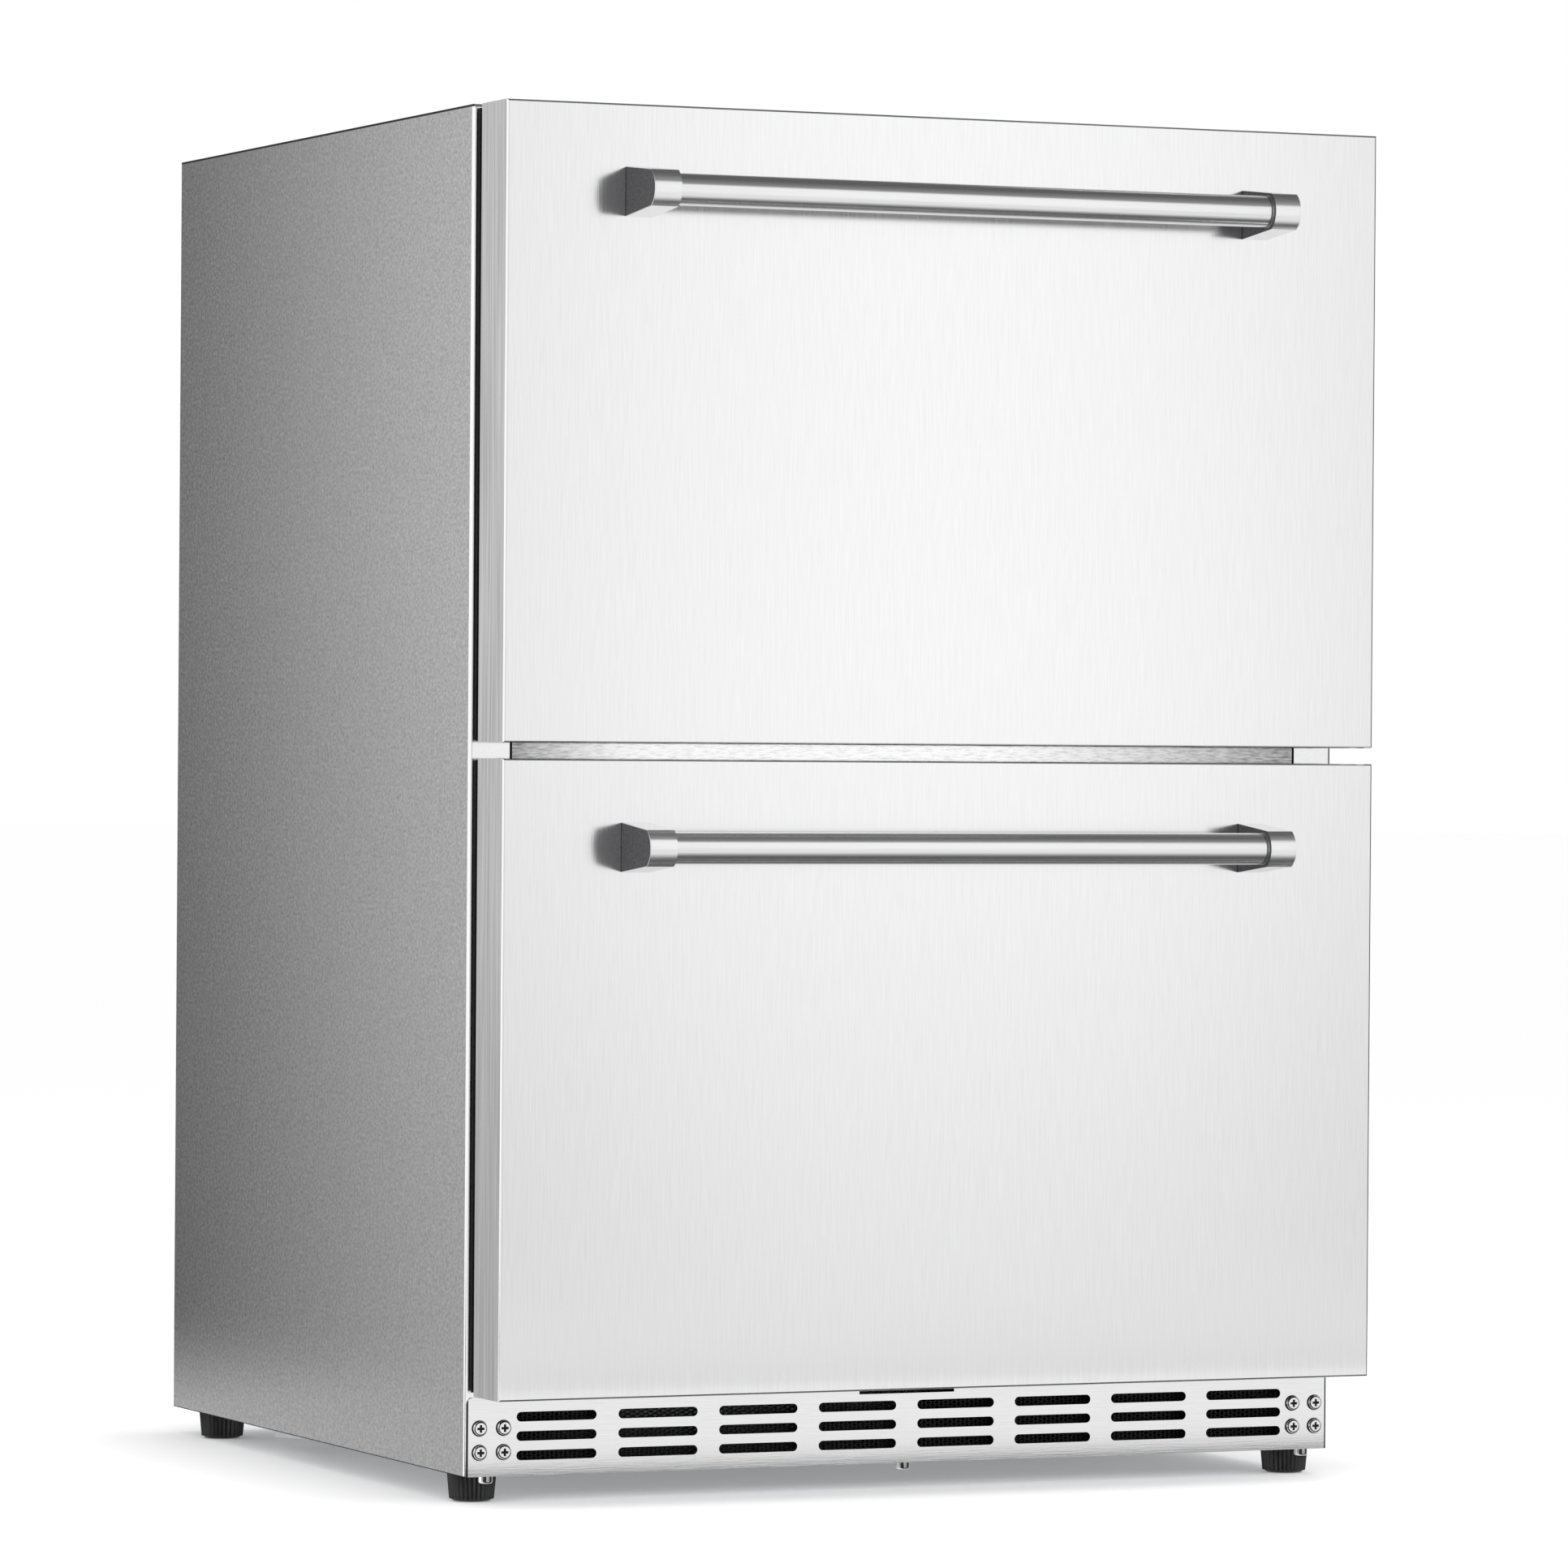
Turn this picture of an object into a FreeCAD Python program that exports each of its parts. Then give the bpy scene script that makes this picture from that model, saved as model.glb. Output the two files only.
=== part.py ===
import FreeCAD, Part
import math
import os

# Under-counter refrigerator with two drawers.
# X runs to the right seen from the front, Y to the back, Z up. The origin is on the floor, under the middle.
# All lengths are in millimetres.

# Cabinet shell
cabinet_width = 600.0
cabinet_depth = 545.0
cabinet_height = 848.0
ground_clearance = 17.0
skin = 1.0
bend = 2.4
top_edge_round = 0.9
stile_width = 27.0
stile_foot_width = 6.0
rear_flange = 14.0
bottom_flange = 8.0
mitre_gap = 0.3
seam_gap = 0.6
back_rib_height = 0.8
back_rib_width = 16.0
back_rib_shares = (0.28, 0.5, 0.72)

# Compartments, measured from the outside of the shell to the inner face of the liner
side_build = 42.0
back_build = 45.0
top_build = 40.0
floor_build = 83.0
liner_sheet = 2.0
liner_radius = 12.0
machine_height = 245.0
machine_depth = 210.0
machine_insulation = 33.0
duct_height = 47.0

# Drawer fronts
front_gap = 10.0
front_base = 51.0
front_top_gap = 1.0
front_thickness = 42.0
gasket_gap = 15.0
front_edge_radius = 1.5
plug_depth = 17.0
plug_clearance = 9.0

# Gasket
gasket_inset = 5.0
gasket_width = 14.0
gasket_neck = 8.0
gasket_foot = 4.0
gasket_fold = 3.0
gasket_clearance = 0.3

# Handles
handle_inset = 78.5
handle_drop = 54.0
bar_diameter = 20.0
bar_axis_reach = 33.7
bar_socket_depth = 14.0
bar_socket_clearance = 0.05
bar_socket_chamfer = 0.25
post_width = 18.0
post_base_height = 31.0
post_nose_height = 22.6
post_nose_start = 40.6
post_reach = 46.8
post_corner_radius = 3.0
post_edge_radius = 0.6

# Drawer bins
bin_sheet = 1.5
bin_headroom = 48.0
bin_corner_radius = 14.0
bin_floor_radius = 6.0
bin_hem = 10.0
bin_rise = 9.0
bin_front_gap = 4.0
bin_rear_gap = 15.0
bin_rail_overhang = 19.0

# Telescopic rails
rail_sheet = 1.5
rail_height = 45.0
rail_thickness = 12.7
rail_setback = 15.0
rail_rear_gap = 25.0
rail_hump_gap = 8.5
rail_drop = 25.0
rail_bead_clearance = 0.3
rail_bead_width = 3.0
rail_track = 2.2
rail_web_clearance = 0.6
rail_flange = 29.0
rail_flange_sheet = 2.0

# Cross rails and mullion
mullion_height = 50.0
mullion_return = 15.0
mullion_end_gap = 1.6
mullion_core_depth = 58.0

# Kick grille and filter
grille_height = 49.0
grille_sheet = 1.2
grille_flange = 11.0
grille_side_gap = 1.0
grille_corner_radius = 4.0
slot_bridge = 14.7
slot_margin = 26.8
slot_height = 6.0
slot_columns = 8
slot_rows = 3
slot_row_pitch = 12.0
slot_first_row = 12.5
notch_width = 66.0
notch_depth = 5.0
filter_setback = 9.0
filter_sheet = 1.5
filter_headroom = 1.0

# Screws
screw_head_diameter = 9.2
screw_head_height = 2.6
screw_shank_diameter = 4.0
screw_length = 9.0
screw_hole_clearance = 0.1
screw_head_round = 1.3
recess_length = 4.8
recess_width = 1.6
recess_depth = 1.9
grille_screw_inset = 9.5
grille_screw_pitch = 16.0
grille_screw_rise = 15.0
under_screw_setback = 5.0
under_screw_head = 4.6
rear_screw_shares = (0.15, 0.5, 0.85)
flange_screw_pitch = 16.0
flange_screw_inset = 12.0

# Corner brackets
bracket_sheet = 2.0
bracket_width = 26.0
bracket_height = 42.0
bracket_foot = 12.0

# Levelling feet
foot_top_diameter = 31.0
foot_bottom_diameter = 28.0
foot_flutes = 28
flute_depth = 1.3
foot_chamfer = 1.2
stud_diameter = 10.0
stud_length = 36.0
stud_clearance = 0.06
nut_diameter = 18.0
nut_height = 10.0
foot_side_inset = 16.0
foot_front_inset = 28.0
foot_rear_inset = 56.0

# Runners pressed out of the base pan
runner_length = 64.0
runner_width = 10.0
runner_rear_drop = 10.0
runner_front_drop = 6.0
runner_share = 0.624
runner_inset = 28.0

# Rear cover and inlet
cover_gap = 0.5
vent_width = 5.0
vent_height = 62.0
vent_margin = 137.5
vents_per_row = 26
vent_shares = (0.26, 0.66)
inlet_width = 48.0
inlet_height = 28.0
inlet_depth = 24.0
inlet_lip = 3.0
inlet_wall = 4.0
inlet_floor = 6.0
inlet_pin_width = 2.0
inlet_pin_height = 4.0
inlet_pin_pitch = 7.0
inlet_pin_offset = 2.0
inlet_side_gap = 64.0
inlet_rise = 44.0

# Compressor
compressor_share = 0.45
compressor_radius = 72.0
compressor_waist = 78.0
compressor_waist_height = 8.0
compressor_can_height = 92.0
compressor_dome = 34.0
compressor_floor_gap = 18.0
compressor_plate = 4.0
compressor_plate_x = 200.0
compressor_plate_y = 130.0
grommet_diameter = 22.0
grommet_inset = 14.0
stub_radius = 4.0
stub_length = 8.0
stub_rise = 84.0
stub_spread = 30.0

# Condenser and its fan
condenser_gap = 10.0
condenser_thickness = 54.0
condenser_end_gap = 20.0
condenser_headroom = 65.0
condenser_floor_gap = 3.0
fin_pitch = 9.0
fin_gap = 6.0
fin_core = 14.0
shroud_gap = 30.0
shroud_sheet = 2.0
shroud_end_gap = 17.0
shroud_headroom = 55.0
shroud_foot = 24.0
fan_opening_border = 20.0
fan_tip_gap = 4.0
fan_hub_diameter = 38.0
fan_hub_length = 16.0
fan_blades = 5
fan_blade_sheet = 2.0
fan_blade_chord = 30.0
fan_blade_angle = 32.0
fan_shaft_diameter = 5.0
fan_shaft_clearance = 0.06
fan_hub_floor = 4.0
fan_motor_diameter = 56.0
fan_motor_length = 34.0
fan_standoff = 1.0
motor_bar_width = 14.0
motor_bar_sheet = 3.0
fan_edge_inset = 8.0

# Drain pan
drain_pan_share = 0.74
drain_pan_width = 76.0
drain_pan_length = 150.0
drain_pan_height = 30.0
drain_pan_wall = 2.0

# Refrigerant lines
line_radius = 4.0
line_bend = 16.0
line_chase_clearance = 0.5
line_ceiling_gap = 14.0
line_wall_gap = 20.0
line_run_out = 17.0
line_spacing = 12.0

# Evaporator, its cover and fan
cover_side_gap = 23.0
cover_depth = 60.0
cover_wall = 2.5
cover_foot_gap = 14.0
cover_head_gap = 10.0
evaporator_side_gap = 65.0
evaporator_depth = 44.0
evaporator_rise = 6.0
evaporator_fan_gap = 45.5
evaporator_fan_diameter = 104.0
evaporator_fan_drop = 84.0
evaporator_motor_diameter = 50.0
evaporator_motor_length = 18.0
fan_grille_diameter = 110.0
grille_spokes = 18
spoke_slot = 7.0
return_slots = 11
return_slot_width = 8.0
return_slot_height = 46.0
return_slot_rise = 20.0

# Control housing, display and buttons
control_width = 220.0
control_depth = 38.0
control_height = 32.0
control_setback = 14.0
control_wall = 2.0
display_width = 64.0
display_height = 18.0
display_sheet = 3.0
button_diameter = 15.0
button_clearance = 0.3
button_proud = 1.6
button_length = 9.0
button_rim = 1.4
button_places = (-82.0, 58.0, 84.0)

# Light strips
light_end_gap = 68.0
light_width = 14.0
light_height = 6.0
light_setback = 60.0
lower_light_setback = 14.0

# Small overshoot of cutting bodies
over = 5.0

# Places closer than this count as the same
same_place = 0.05

# Levels and planes worked out from the sizes above
half_width = cabinet_width / 2
inner_half = half_width - skin
liner_half = half_width - side_build
front_height = (cabinet_height - front_base - front_gap - front_top_gap) / 2
handle_length = cabinet_width - 2 * handle_inset
slot_pitch = (cabinet_width - 2 * slot_margin) / slot_columns
slot_length = slot_pitch - slot_bridge
front_reach = gasket_gap + front_thickness + post_reach
front_y = (front_reach - cabinet_depth - screw_head_height) / 2
back_y = front_y + cabinet_depth
panel_y = back_y - 2 * skin
liner_y = front_y + skin
liner_back_y = back_y - back_build
bottom_z = ground_clearance
top_z = bottom_z + cabinet_height
pan_z = bottom_z + skin
pan_top_z = pan_z + skin
grille_top_z = bottom_z + grille_height
duct_z = bottom_z + duct_height
floor_z = bottom_z + floor_build
ceiling_z = top_z - top_build
machine_y = back_y - machine_depth
machine_z = bottom_z + machine_height
hump_y = machine_y - machine_insulation - liner_sheet
hump_z = machine_z + skin + machine_insulation + liner_sheet
fronts_y = front_y - gasket_gap
face_y = fronts_y - front_thickness
lower_front_z = bottom_z + front_base
upper_front_z = lower_front_z + front_height + front_gap
mullion_z = upper_front_z - front_gap / 2 - mullion_height / 2
mullion_top_z = mullion_z + mullion_height
plug_y = fronts_y + plug_depth
rail_y = front_y + rail_setback
bin_half = liner_half - rail_thickness
bin_y = plug_y + rail_flange_sheet + bin_front_gap
evaporator_y = liner_back_y - cover_depth
rail_length = evaporator_y - rail_rear_gap - rail_y
upper_bin_depth = rail_y + rail_length - bin_rail_overhang - bin_y
lower_bin_depth = hump_y - bin_rear_gap - bin_y
upper_bin_z = mullion_top_z + bin_rise
lower_bin_z = floor_z + bin_rise
upper_bin_height = ceiling_z - control_height - bin_headroom - upper_bin_z
upper_rail_z = upper_bin_z + upper_bin_height - rail_drop
lower_rail_z = hump_z + rail_hump_gap + rail_height / 2
lower_bin_height = lower_rail_z + rail_drop - lower_bin_z
cover_width = 2 * (liner_half - cover_side_gap)
cover_z = mullion_top_z + cover_foot_gap
evaporator_width = cover_width - 2 * evaporator_side_gap
evaporator_z = cover_z + cover_wall + evaporator_rise
evaporator_fan_z = ceiling_z - evaporator_fan_drop
evaporator_height = evaporator_fan_z - evaporator_fan_diameter / 2 - evaporator_fan_gap - evaporator_z
return_slot_pitch = evaporator_width / (return_slots - 1)
light_length = 2 * (liner_half - light_end_gap)
vent_pitch = (cabinet_width - 2 * vent_margin) / (vents_per_row - 1)
inlet_offset = half_width - inlet_side_gap
condenser_width = machine_depth - 2 * condenser_end_gap
condenser_height = machine_height - condenser_headroom
shroud_width = machine_depth - 2 * shroud_end_gap
shroud_height = machine_height - shroud_headroom
fan_opening = min(shroud_width, shroud_height) - 2 * fan_opening_border
condenser_fan_diameter = fan_opening - 2 * fan_tip_gap
drain_pan_offset = inner_half * drain_pan_share
condenser_offset = drain_pan_offset - drain_pan_width / 2 - condenser_gap - condenser_thickness
shroud_offset = condenser_offset - shroud_gap
compressor_offset = inner_half * compressor_share
condenser_fan_y = machine_y + (machine_depth - skin) / 2
condenser_fan_z = pan_top_z + shroud_height / 2
shank_radius = screw_shank_diameter / 2
hole_radius = shank_radius + screw_hole_clearance

X = FreeCAD.Vector(1, 0, 0)
Y = FreeCAD.Vector(0, 1, 0)
Z = FreeCAD.Vector(0, 0, 1)
CENTRE = FreeCAD.Vector(0, 0, 0)


def point(x, y, z):
    return FreeCAD.Vector(x, y, z)


def block(x0, x1, y0, y1, z0, z1):
    return Part.makeBox(x1 - x0, y1 - y0, z1 - z0, point(x0, y0, z0))


def wide(half, y0, y1, z0, z1):
    return block(-half, half, y0, y1, z0, z1)


def rod(radius, length, start, along):
    return Part.makeCylinder(radius, length, start, along)


def other_side(shape):
    return shape.mirror(CENTRE, X)


def both_sides(shape):
    return [shape, other_side(shape)]


def joined(shapes):
    return shapes[0].multiFuse(shapes[1:]).removeSplitter()


def without(shape, cutters):
    return shape.cut(Part.makeCompound(cutters))


def prism(points, along):
    return Part.Face(Part.makePolygon(points + points[:1])).extrude(along)


def edges_at(shape, along, test):
    """Straight edges that run along an axis and whose middle passes the test."""
    found = []
    for edge in shape.Edges:
        ends = [v.Point for v in edge.Vertexes]
        if len(ends) != 2 or not isinstance(edge.Curve, Part.Line):
            continue
        run = (ends[1] - ends[0]).normalize()
        if abs(run.dot(along)) > math.cos(math.radians(1)) and test((ends[0] + ends[1]) / 2):
            found.append(edge)
    return found


def near(a, b):
    return abs(a - b) < same_place


def slot(length, height, middle, depth):
    """Long round-ended cutter through the thickness, its middle on the near face."""
    radius = height / 2
    straight = length / 2 - radius
    ends = [rod(radius, depth, middle + X * straight * s, Y) for s in (-1, 1)]
    bar = block(middle.x - straight, middle.x + straight, middle.y, middle.y + depth,
                middle.z - radius, middle.z + radius)
    return joined([bar] + ends)


def upright_slot(width, height, middle, depth):
    cutter = slot(height, width, middle, depth)
    cutter.rotate(middle, Y, 90)
    return cutter


def screw(seat, along, height=screw_head_height):
    """Pan-head screw with a cross recess; seat is the point under its head, along is the way it is driven."""
    radius = screw_head_diameter / 2
    head = rod(radius, height, seat - along * height, along)
    rim = [e for e in head.Edges if near(e.CenterOfMass.distanceToPoint(seat), height)]
    head = head.makeFillet(screw_head_round, rim)
    shank = rod(shank_radius, screw_length, seat, along)
    recess = []
    for turn in (0, 90):
        bar = Part.makeBox(recess_length, recess_width, recess_depth,
                           point(-recess_length / 2, -recess_width / 2, 0))
        bar.rotate(CENTRE, Z, turn)
        bar.Placement = FreeCAD.Placement(seat - along * height,
                                          FreeCAD.Rotation(Z, along)).multiply(bar.Placement)
        recess.append(bar)
    return without(joined([head, shank]), recess)


def screw_hole(seat, along):
    return rod(hole_radius, screw_length + over, seat - along * over, along)


def tube(points, radius):
    """Round tube along straight runs joined by bends."""
    pieces = []
    start = points[0]
    for before, corner, after in zip(points, points[1:], points[2:]):
        back = (before - corner).normalize()
        ahead = (after - corner).normalize()
        first = corner + back * line_bend
        last = corner + ahead * line_bend
        hub = corner + (back + ahead) * line_bend
        middle = hub + (corner - hub).normalize() * line_bend
        pieces.append(Part.makeLine(start, first))
        pieces.append(Part.Arc(first, middle, last).toShape())
        start = last
    pieces.append(Part.makeLine(start, points[-1]))
    path = Part.Wire(pieces)
    ring = Part.Wire(Part.makeCircle(radius, points[0], (points[1] - points[0]).normalize()))
    return path.makePipeShell([ring], True, False)


def fins(x0, x1, y0, y1, z0, z1):
    """Finned block: thin plates along X joined by a core in the middle of its depth."""
    plate = fin_pitch - fin_gap
    count = int((x1 - x0 - plate) // fin_pitch)
    margin = (x1 - x0 - plate - count * fin_pitch) / 2
    middle = (y0 + y1) / 2
    cutters = []
    for i in range(count):
        x = x0 + margin + plate + i * fin_pitch
        cutters.append(block(x, x + fin_gap, y0 - over, middle - fin_core / 2, z0 - over, z1 + over))
        cutters.append(block(x, x + fin_gap, middle + fin_core / 2, y1 + over, z0 - over, z1 + over))
    return without(block(x0, x1, y0, y1, z0, z1), cutters)


def fan(diameter):
    """Fan on the Z axis, its hub open underneath for the shaft."""
    hub = rod(fan_hub_diameter / 2, fan_hub_length, CENTRE, Z)
    reach = diameter / 2
    inner = fan_hub_diameter / 2 - fan_blade_sheet
    shapes = [hub]
    for i in range(fan_blades):
        blade = Part.makeBox(reach - inner, fan_blade_chord, fan_blade_sheet,
                             point(inner, -fan_blade_chord / 2, -fan_blade_sheet / 2))
        blade.rotate(CENTRE, X, fan_blade_angle)
        blade.translate(Z * fan_hub_length / 2)
        blade.rotate(CENTRE, Z, 360 * i / fan_blades)
        shapes.append(blade)
    disc = rod(reach, fan_hub_length + fan_blade_chord, -Z * fan_blade_chord / 2, Z)
    bore = rod(fan_shaft_diameter / 2 + fan_shaft_clearance, fan_hub_length - fan_hub_floor, CENTRE, Z)
    return joined(shapes).common(disc).cut(bore)


def facing(shape, base, along):
    placed = shape.copy()
    placed.Placement = FreeCAD.Placement(base, FreeCAD.Rotation(Z, along))
    return placed


def foot_places():
    x = half_width - foot_side_inset
    front = front_y + foot_front_inset
    rear = back_y - foot_rear_inset
    return {"front_left_foot": (-x, front), "front_right_foot": (x, front),
            "rear_left_foot": (-x, rear), "rear_right_foot": (x, rear)}


def grille_screws():
    seats = []
    for side in (-1, 1):
        for i in (0, 1):
            for j in (1, 2):
                x = side * (half_width - grille_screw_inset - i * grille_screw_pitch)
                seats.append((point(x, front_y - grille_sheet, bottom_z + j * grille_screw_rise), Y))
        seats.append((point(side * (half_width - foot_side_inset), front_y + under_screw_setback, bottom_z), Z))
    seats.append((point(0, front_y + under_screw_setback, bottom_z), Z))
    return seats


def rear_screws():
    seats = []
    for low, high in ((pan_top_z, machine_z), (machine_z, top_z)):
        for share in rear_screw_shares:
            for side in (-1, 1):
                x = side * (half_width - rear_flange / 2)
                seats.append((point(x, back_y, low + (high - low) * share), -Y))
    return seats


def holes(seats):
    return [screw_hole(seat, along) for seat, along in seats]


# Cabinet shell

def side_panel():
    top = top_z - skin
    plate = block(inner_half, half_width, front_y, back_y, bottom_z, top_z)
    stile = block(half_width - stile_width, half_width, front_y, liner_y, grille_top_z, top_z)
    stile_foot = block(half_width - stile_foot_width, half_width, front_y, liner_y, bottom_z, grille_top_z)
    rear = block(half_width - rear_flange, half_width, back_y - skin, back_y, bottom_z, top)
    under = block(half_width - bottom_flange, half_width, front_y + grille_flange + 2 * skin, back_y,
                  bottom_z, pan_z)
    panel = joined([plate, stile, stile_foot, rear, under])
    folds = edges_at(panel, Z, lambda m: near(m.x, half_width))
    panel = panel.makeFillet(bend, folds)
    drop = stile_width + over
    mitre = prism([point(inner_half, front_y - over, top - mitre_gap),
                   point(inner_half, front_y - over, top_z + over),
                   point(half_width - drop, front_y - over, top_z + over),
                   point(half_width - drop, front_y - over, top_z - drop - mitre_gap)], Y * (over + skin))
    return without(panel, [mitre, top_corner()] + holes(rear_screws()))


def top_corner():
    """What rounding takes off the long top edge of a side panel."""
    x = half_width - top_edge_round
    z = top_z - top_edge_round
    corner = block(x, half_width + over, front_y - over, back_y + over, z, top_z + over)
    return corner.cut(rod(top_edge_round, cabinet_depth + 2 * over, point(x, front_y - over, z), Y))


def top_panel():
    plate = wide(inner_half, front_y, back_y, top_z - skin, top_z)
    low = half_width - stile_width
    flange = prism([point(-inner_half, front_y, top_z), point(inner_half, front_y, top_z),
                    point(inner_half, front_y, top_z - skin), point(low, front_y, top_z - stile_width),
                    point(-low, front_y, top_z - stile_width), point(-inner_half, front_y, top_z - skin)],
                   Y * skin)
    panel = joined([plate, flange])
    fold = edges_at(panel, X, lambda m: near(m.y, front_y) and near(m.z, top_z))
    return panel.makeFillet(bend, fold)


def back_panel():
    low = machine_z + skin
    panel = wide(inner_half, panel_y, back_y - skin, low, top_z - skin)
    ribs = []
    height = top_z - low
    for share in back_rib_shares:
        z = low + height * share
        rib = wide(inner_half - 2 * rear_flange, back_y - skin, back_y - skin + back_rib_height,
                   z - back_rib_width / 2, z + back_rib_width / 2)
        ribs.append(rib)
    return without(joined([panel] + ribs), holes(rear_screws()))


def runner():
    """Wedge-shaped runner under the base pan, deeper at its rear end."""
    x = half_width - runner_inset - runner_width / 2
    y0 = front_y + cabinet_depth * runner_share
    y1 = y0 + runner_length
    return prism([point(x, y0, pan_z), point(x, y0, bottom_z - runner_front_drop),
                  point(x, y1, bottom_z - runner_rear_drop), point(x, y1, pan_z)], X * runner_width)


def base_pan():
    pan = wide(inner_half, liner_y, panel_y, pan_z, pan_top_z)
    nuts = []
    bores = []
    for x, y in foot_places().values():
        nuts.append(rod(nut_diameter / 2, nut_height, point(x, y, pan_top_z), Z))
        bores.append(rod(stud_diameter / 2 + stud_clearance, stud_length, point(x, y, bottom_z), Z))
    return without(joined([pan] + nuts + both_sides(runner())), bores + holes(grille_screws()))


def machine_divider():
    duct = wide(inner_half, liner_y + liner_sheet, machine_y + skin, duct_z, duct_z + skin)
    wall = wide(inner_half, machine_y, machine_y + skin, duct_z, machine_z + skin)
    roof = wide(inner_half, machine_y, panel_y, machine_z, machine_z + skin)
    return without(joined([duct, wall, roof]), line_chases())


def cavity(grow):
    """Inside of both compartments, grown by the thickness of the liner where asked."""
    half = liner_half + grow
    space = wide(half, liner_y, liner_back_y + grow, floor_z - grow, ceiling_z + grow)
    corners = edges_at(space, Y, lambda m: True)
    space = space.makeFillet(liner_radius + grow, corners)
    hump = wide(half + over, hump_y + grow, liner_back_y + grow + over, floor_z - grow - over, hump_z - grow)
    return space.cut(hump)


def inner_liner():
    flange = wide(inner_half, liner_y, liner_y + liner_sheet, duct_z + skin, top_z - skin)
    shell = joined([cavity(liner_sheet), flange])
    return without(shell, [cavity(0)] + line_chases())


def cabinet_insulation():
    low = duct_z + skin
    foam = wide(inner_half, liner_y + liner_sheet, panel_y, low, top_z - skin)
    machine = wide(half_width, machine_y, back_y, low - over, machine_z + skin)
    return without(foam, [machine, cavity(liner_sheet)] + line_chases() + holes(rear_screws()))


def cross_rails():
    half = half_width - stile_width - mullion_end_gap
    inner = liner_half - seam_gap
    bar = wide(half, front_y, liner_y, mullion_z, mullion_top_z)
    low = wide(inner, front_y, front_y + mullion_return, mullion_z, mullion_z + skin)
    high = wide(inner, front_y, front_y + mullion_return, mullion_top_z - skin, mullion_top_z)
    sill = wide(half, front_y, liner_y, grille_top_z + seam_gap, floor_z)
    return Part.makeCompound([joined([bar, low, high]), sill])


def mullion_core():
    return wide(liner_half, liner_y, liner_y + mullion_core_depth, mullion_z + skin, mullion_top_z - skin)


# Base front

def corner_brackets():
    outer = half_width - stile_foot_width - seam_gap
    plate = block(outer - bracket_width, outer, front_y, front_y + bracket_sheet, pan_top_z,
                  pan_top_z + bracket_height)
    foot = block(outer - bracket_width, outer, liner_y, front_y + bracket_sheet + bracket_foot,
                 pan_top_z, pan_top_z + bracket_sheet)
    bracket = joined([plate, foot])
    return Part.makeCompound([without(b, holes(grille_screws())) for b in both_sides(bracket)])


def kick_grille():
    half = half_width - grille_side_gap
    y = front_y - grille_sheet
    plate = wide(half, y, front_y, bottom_z, grille_top_z)
    corners = edges_at(plate, Y, lambda m: near(m.z, grille_top_z))
    plate = plate.makeFillet(grille_corner_radius, corners)
    flange = wide(half, y, front_y + grille_flange, bottom_z, pan_z)
    side_notch = block(half_width - stile_foot_width - seam_gap, half_width, front_y,
                       front_y + grille_flange + over, bottom_z - over, pan_z + over)
    cutters = [wide(notch_width / 2, y - over, front_y + over, grille_top_z - notch_depth, grille_top_z + over)]
    cutters += both_sides(side_notch)
    for column in range(slot_columns):
        x = (column - (slot_columns - 1) / 2) * slot_pitch
        for row in range(slot_rows):
            z = bottom_z + slot_first_row + row * slot_row_pitch
            cutters.append(slot(slot_length, slot_height, point(x, y - over, z), grille_sheet + 2 * over))
    return without(joined([plate, flange]), cutters + holes(grille_screws()))


def air_filter():
    half = half_width - stile_foot_width - bracket_width - 2 * seam_gap
    y = front_y + filter_setback
    return wide(half, y, y + filter_sheet, pan_top_z, duct_z - filter_headroom).cut(
        Part.makeCompound(holes(grille_screws())))


def panel_screws():
    screws = []
    for seat, along in grille_screws() + rear_screws():
        screws.append(screw(seat, along, under_screw_head if along == Z else screw_head_height))
    return Part.makeCompound(screws)


def foot(x, y):
    """Fluted knob with its threaded stud, screwed fully in."""
    def ring(diameter, z):
        corners = []
        for i in range(2 * foot_flutes):
            angle = math.pi * i / foot_flutes
            radius = diameter / 2 - flute_depth * (i % 2)
            corners.append(point(x + radius * math.cos(angle), y + radius * math.sin(angle), z))
        return Part.makePolygon(corners + corners[:1])
    knob = Part.makeLoft([ring(foot_bottom_diameter, foot_chamfer), ring(foot_top_diameter, bottom_z)], True, True)
    sole_radius = foot_bottom_diameter / 2 - flute_depth
    sole = Part.makeCone(sole_radius - foot_chamfer, sole_radius, foot_chamfer, point(x, y, 0))
    stud = rod(stud_diameter / 2, stud_length, point(x, y, bottom_z), Z)
    return joined([knob, sole, stud])


# Rear cover and inlet

def inlet_seat():
    return point(-inlet_offset, back_y - skin, pan_top_z + inlet_rise)


def rear_cover():
    low = pan_top_z
    high = machine_z - cover_gap
    cover = wide(inner_half, panel_y, back_y - skin, low, high)
    cutters = []
    for share in vent_shares:
        for i in range(vents_per_row):
            x = (i - (vents_per_row - 1) / 2) * vent_pitch
            middle = point(x, panel_y - over, low + (high - low) * share)
            cutters.append(upright_slot(vent_width, vent_height, middle, skin + 2 * over))
    seat = inlet_seat()
    width = inlet_width / 2 - inlet_lip
    height = inlet_height / 2 - inlet_lip
    cutters.append(block(seat.x - width, seat.x + width, panel_y - over, back_y + over,
                         seat.z - height, seat.z + height))
    return without(cover, cutters + holes(rear_screws()))


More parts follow.
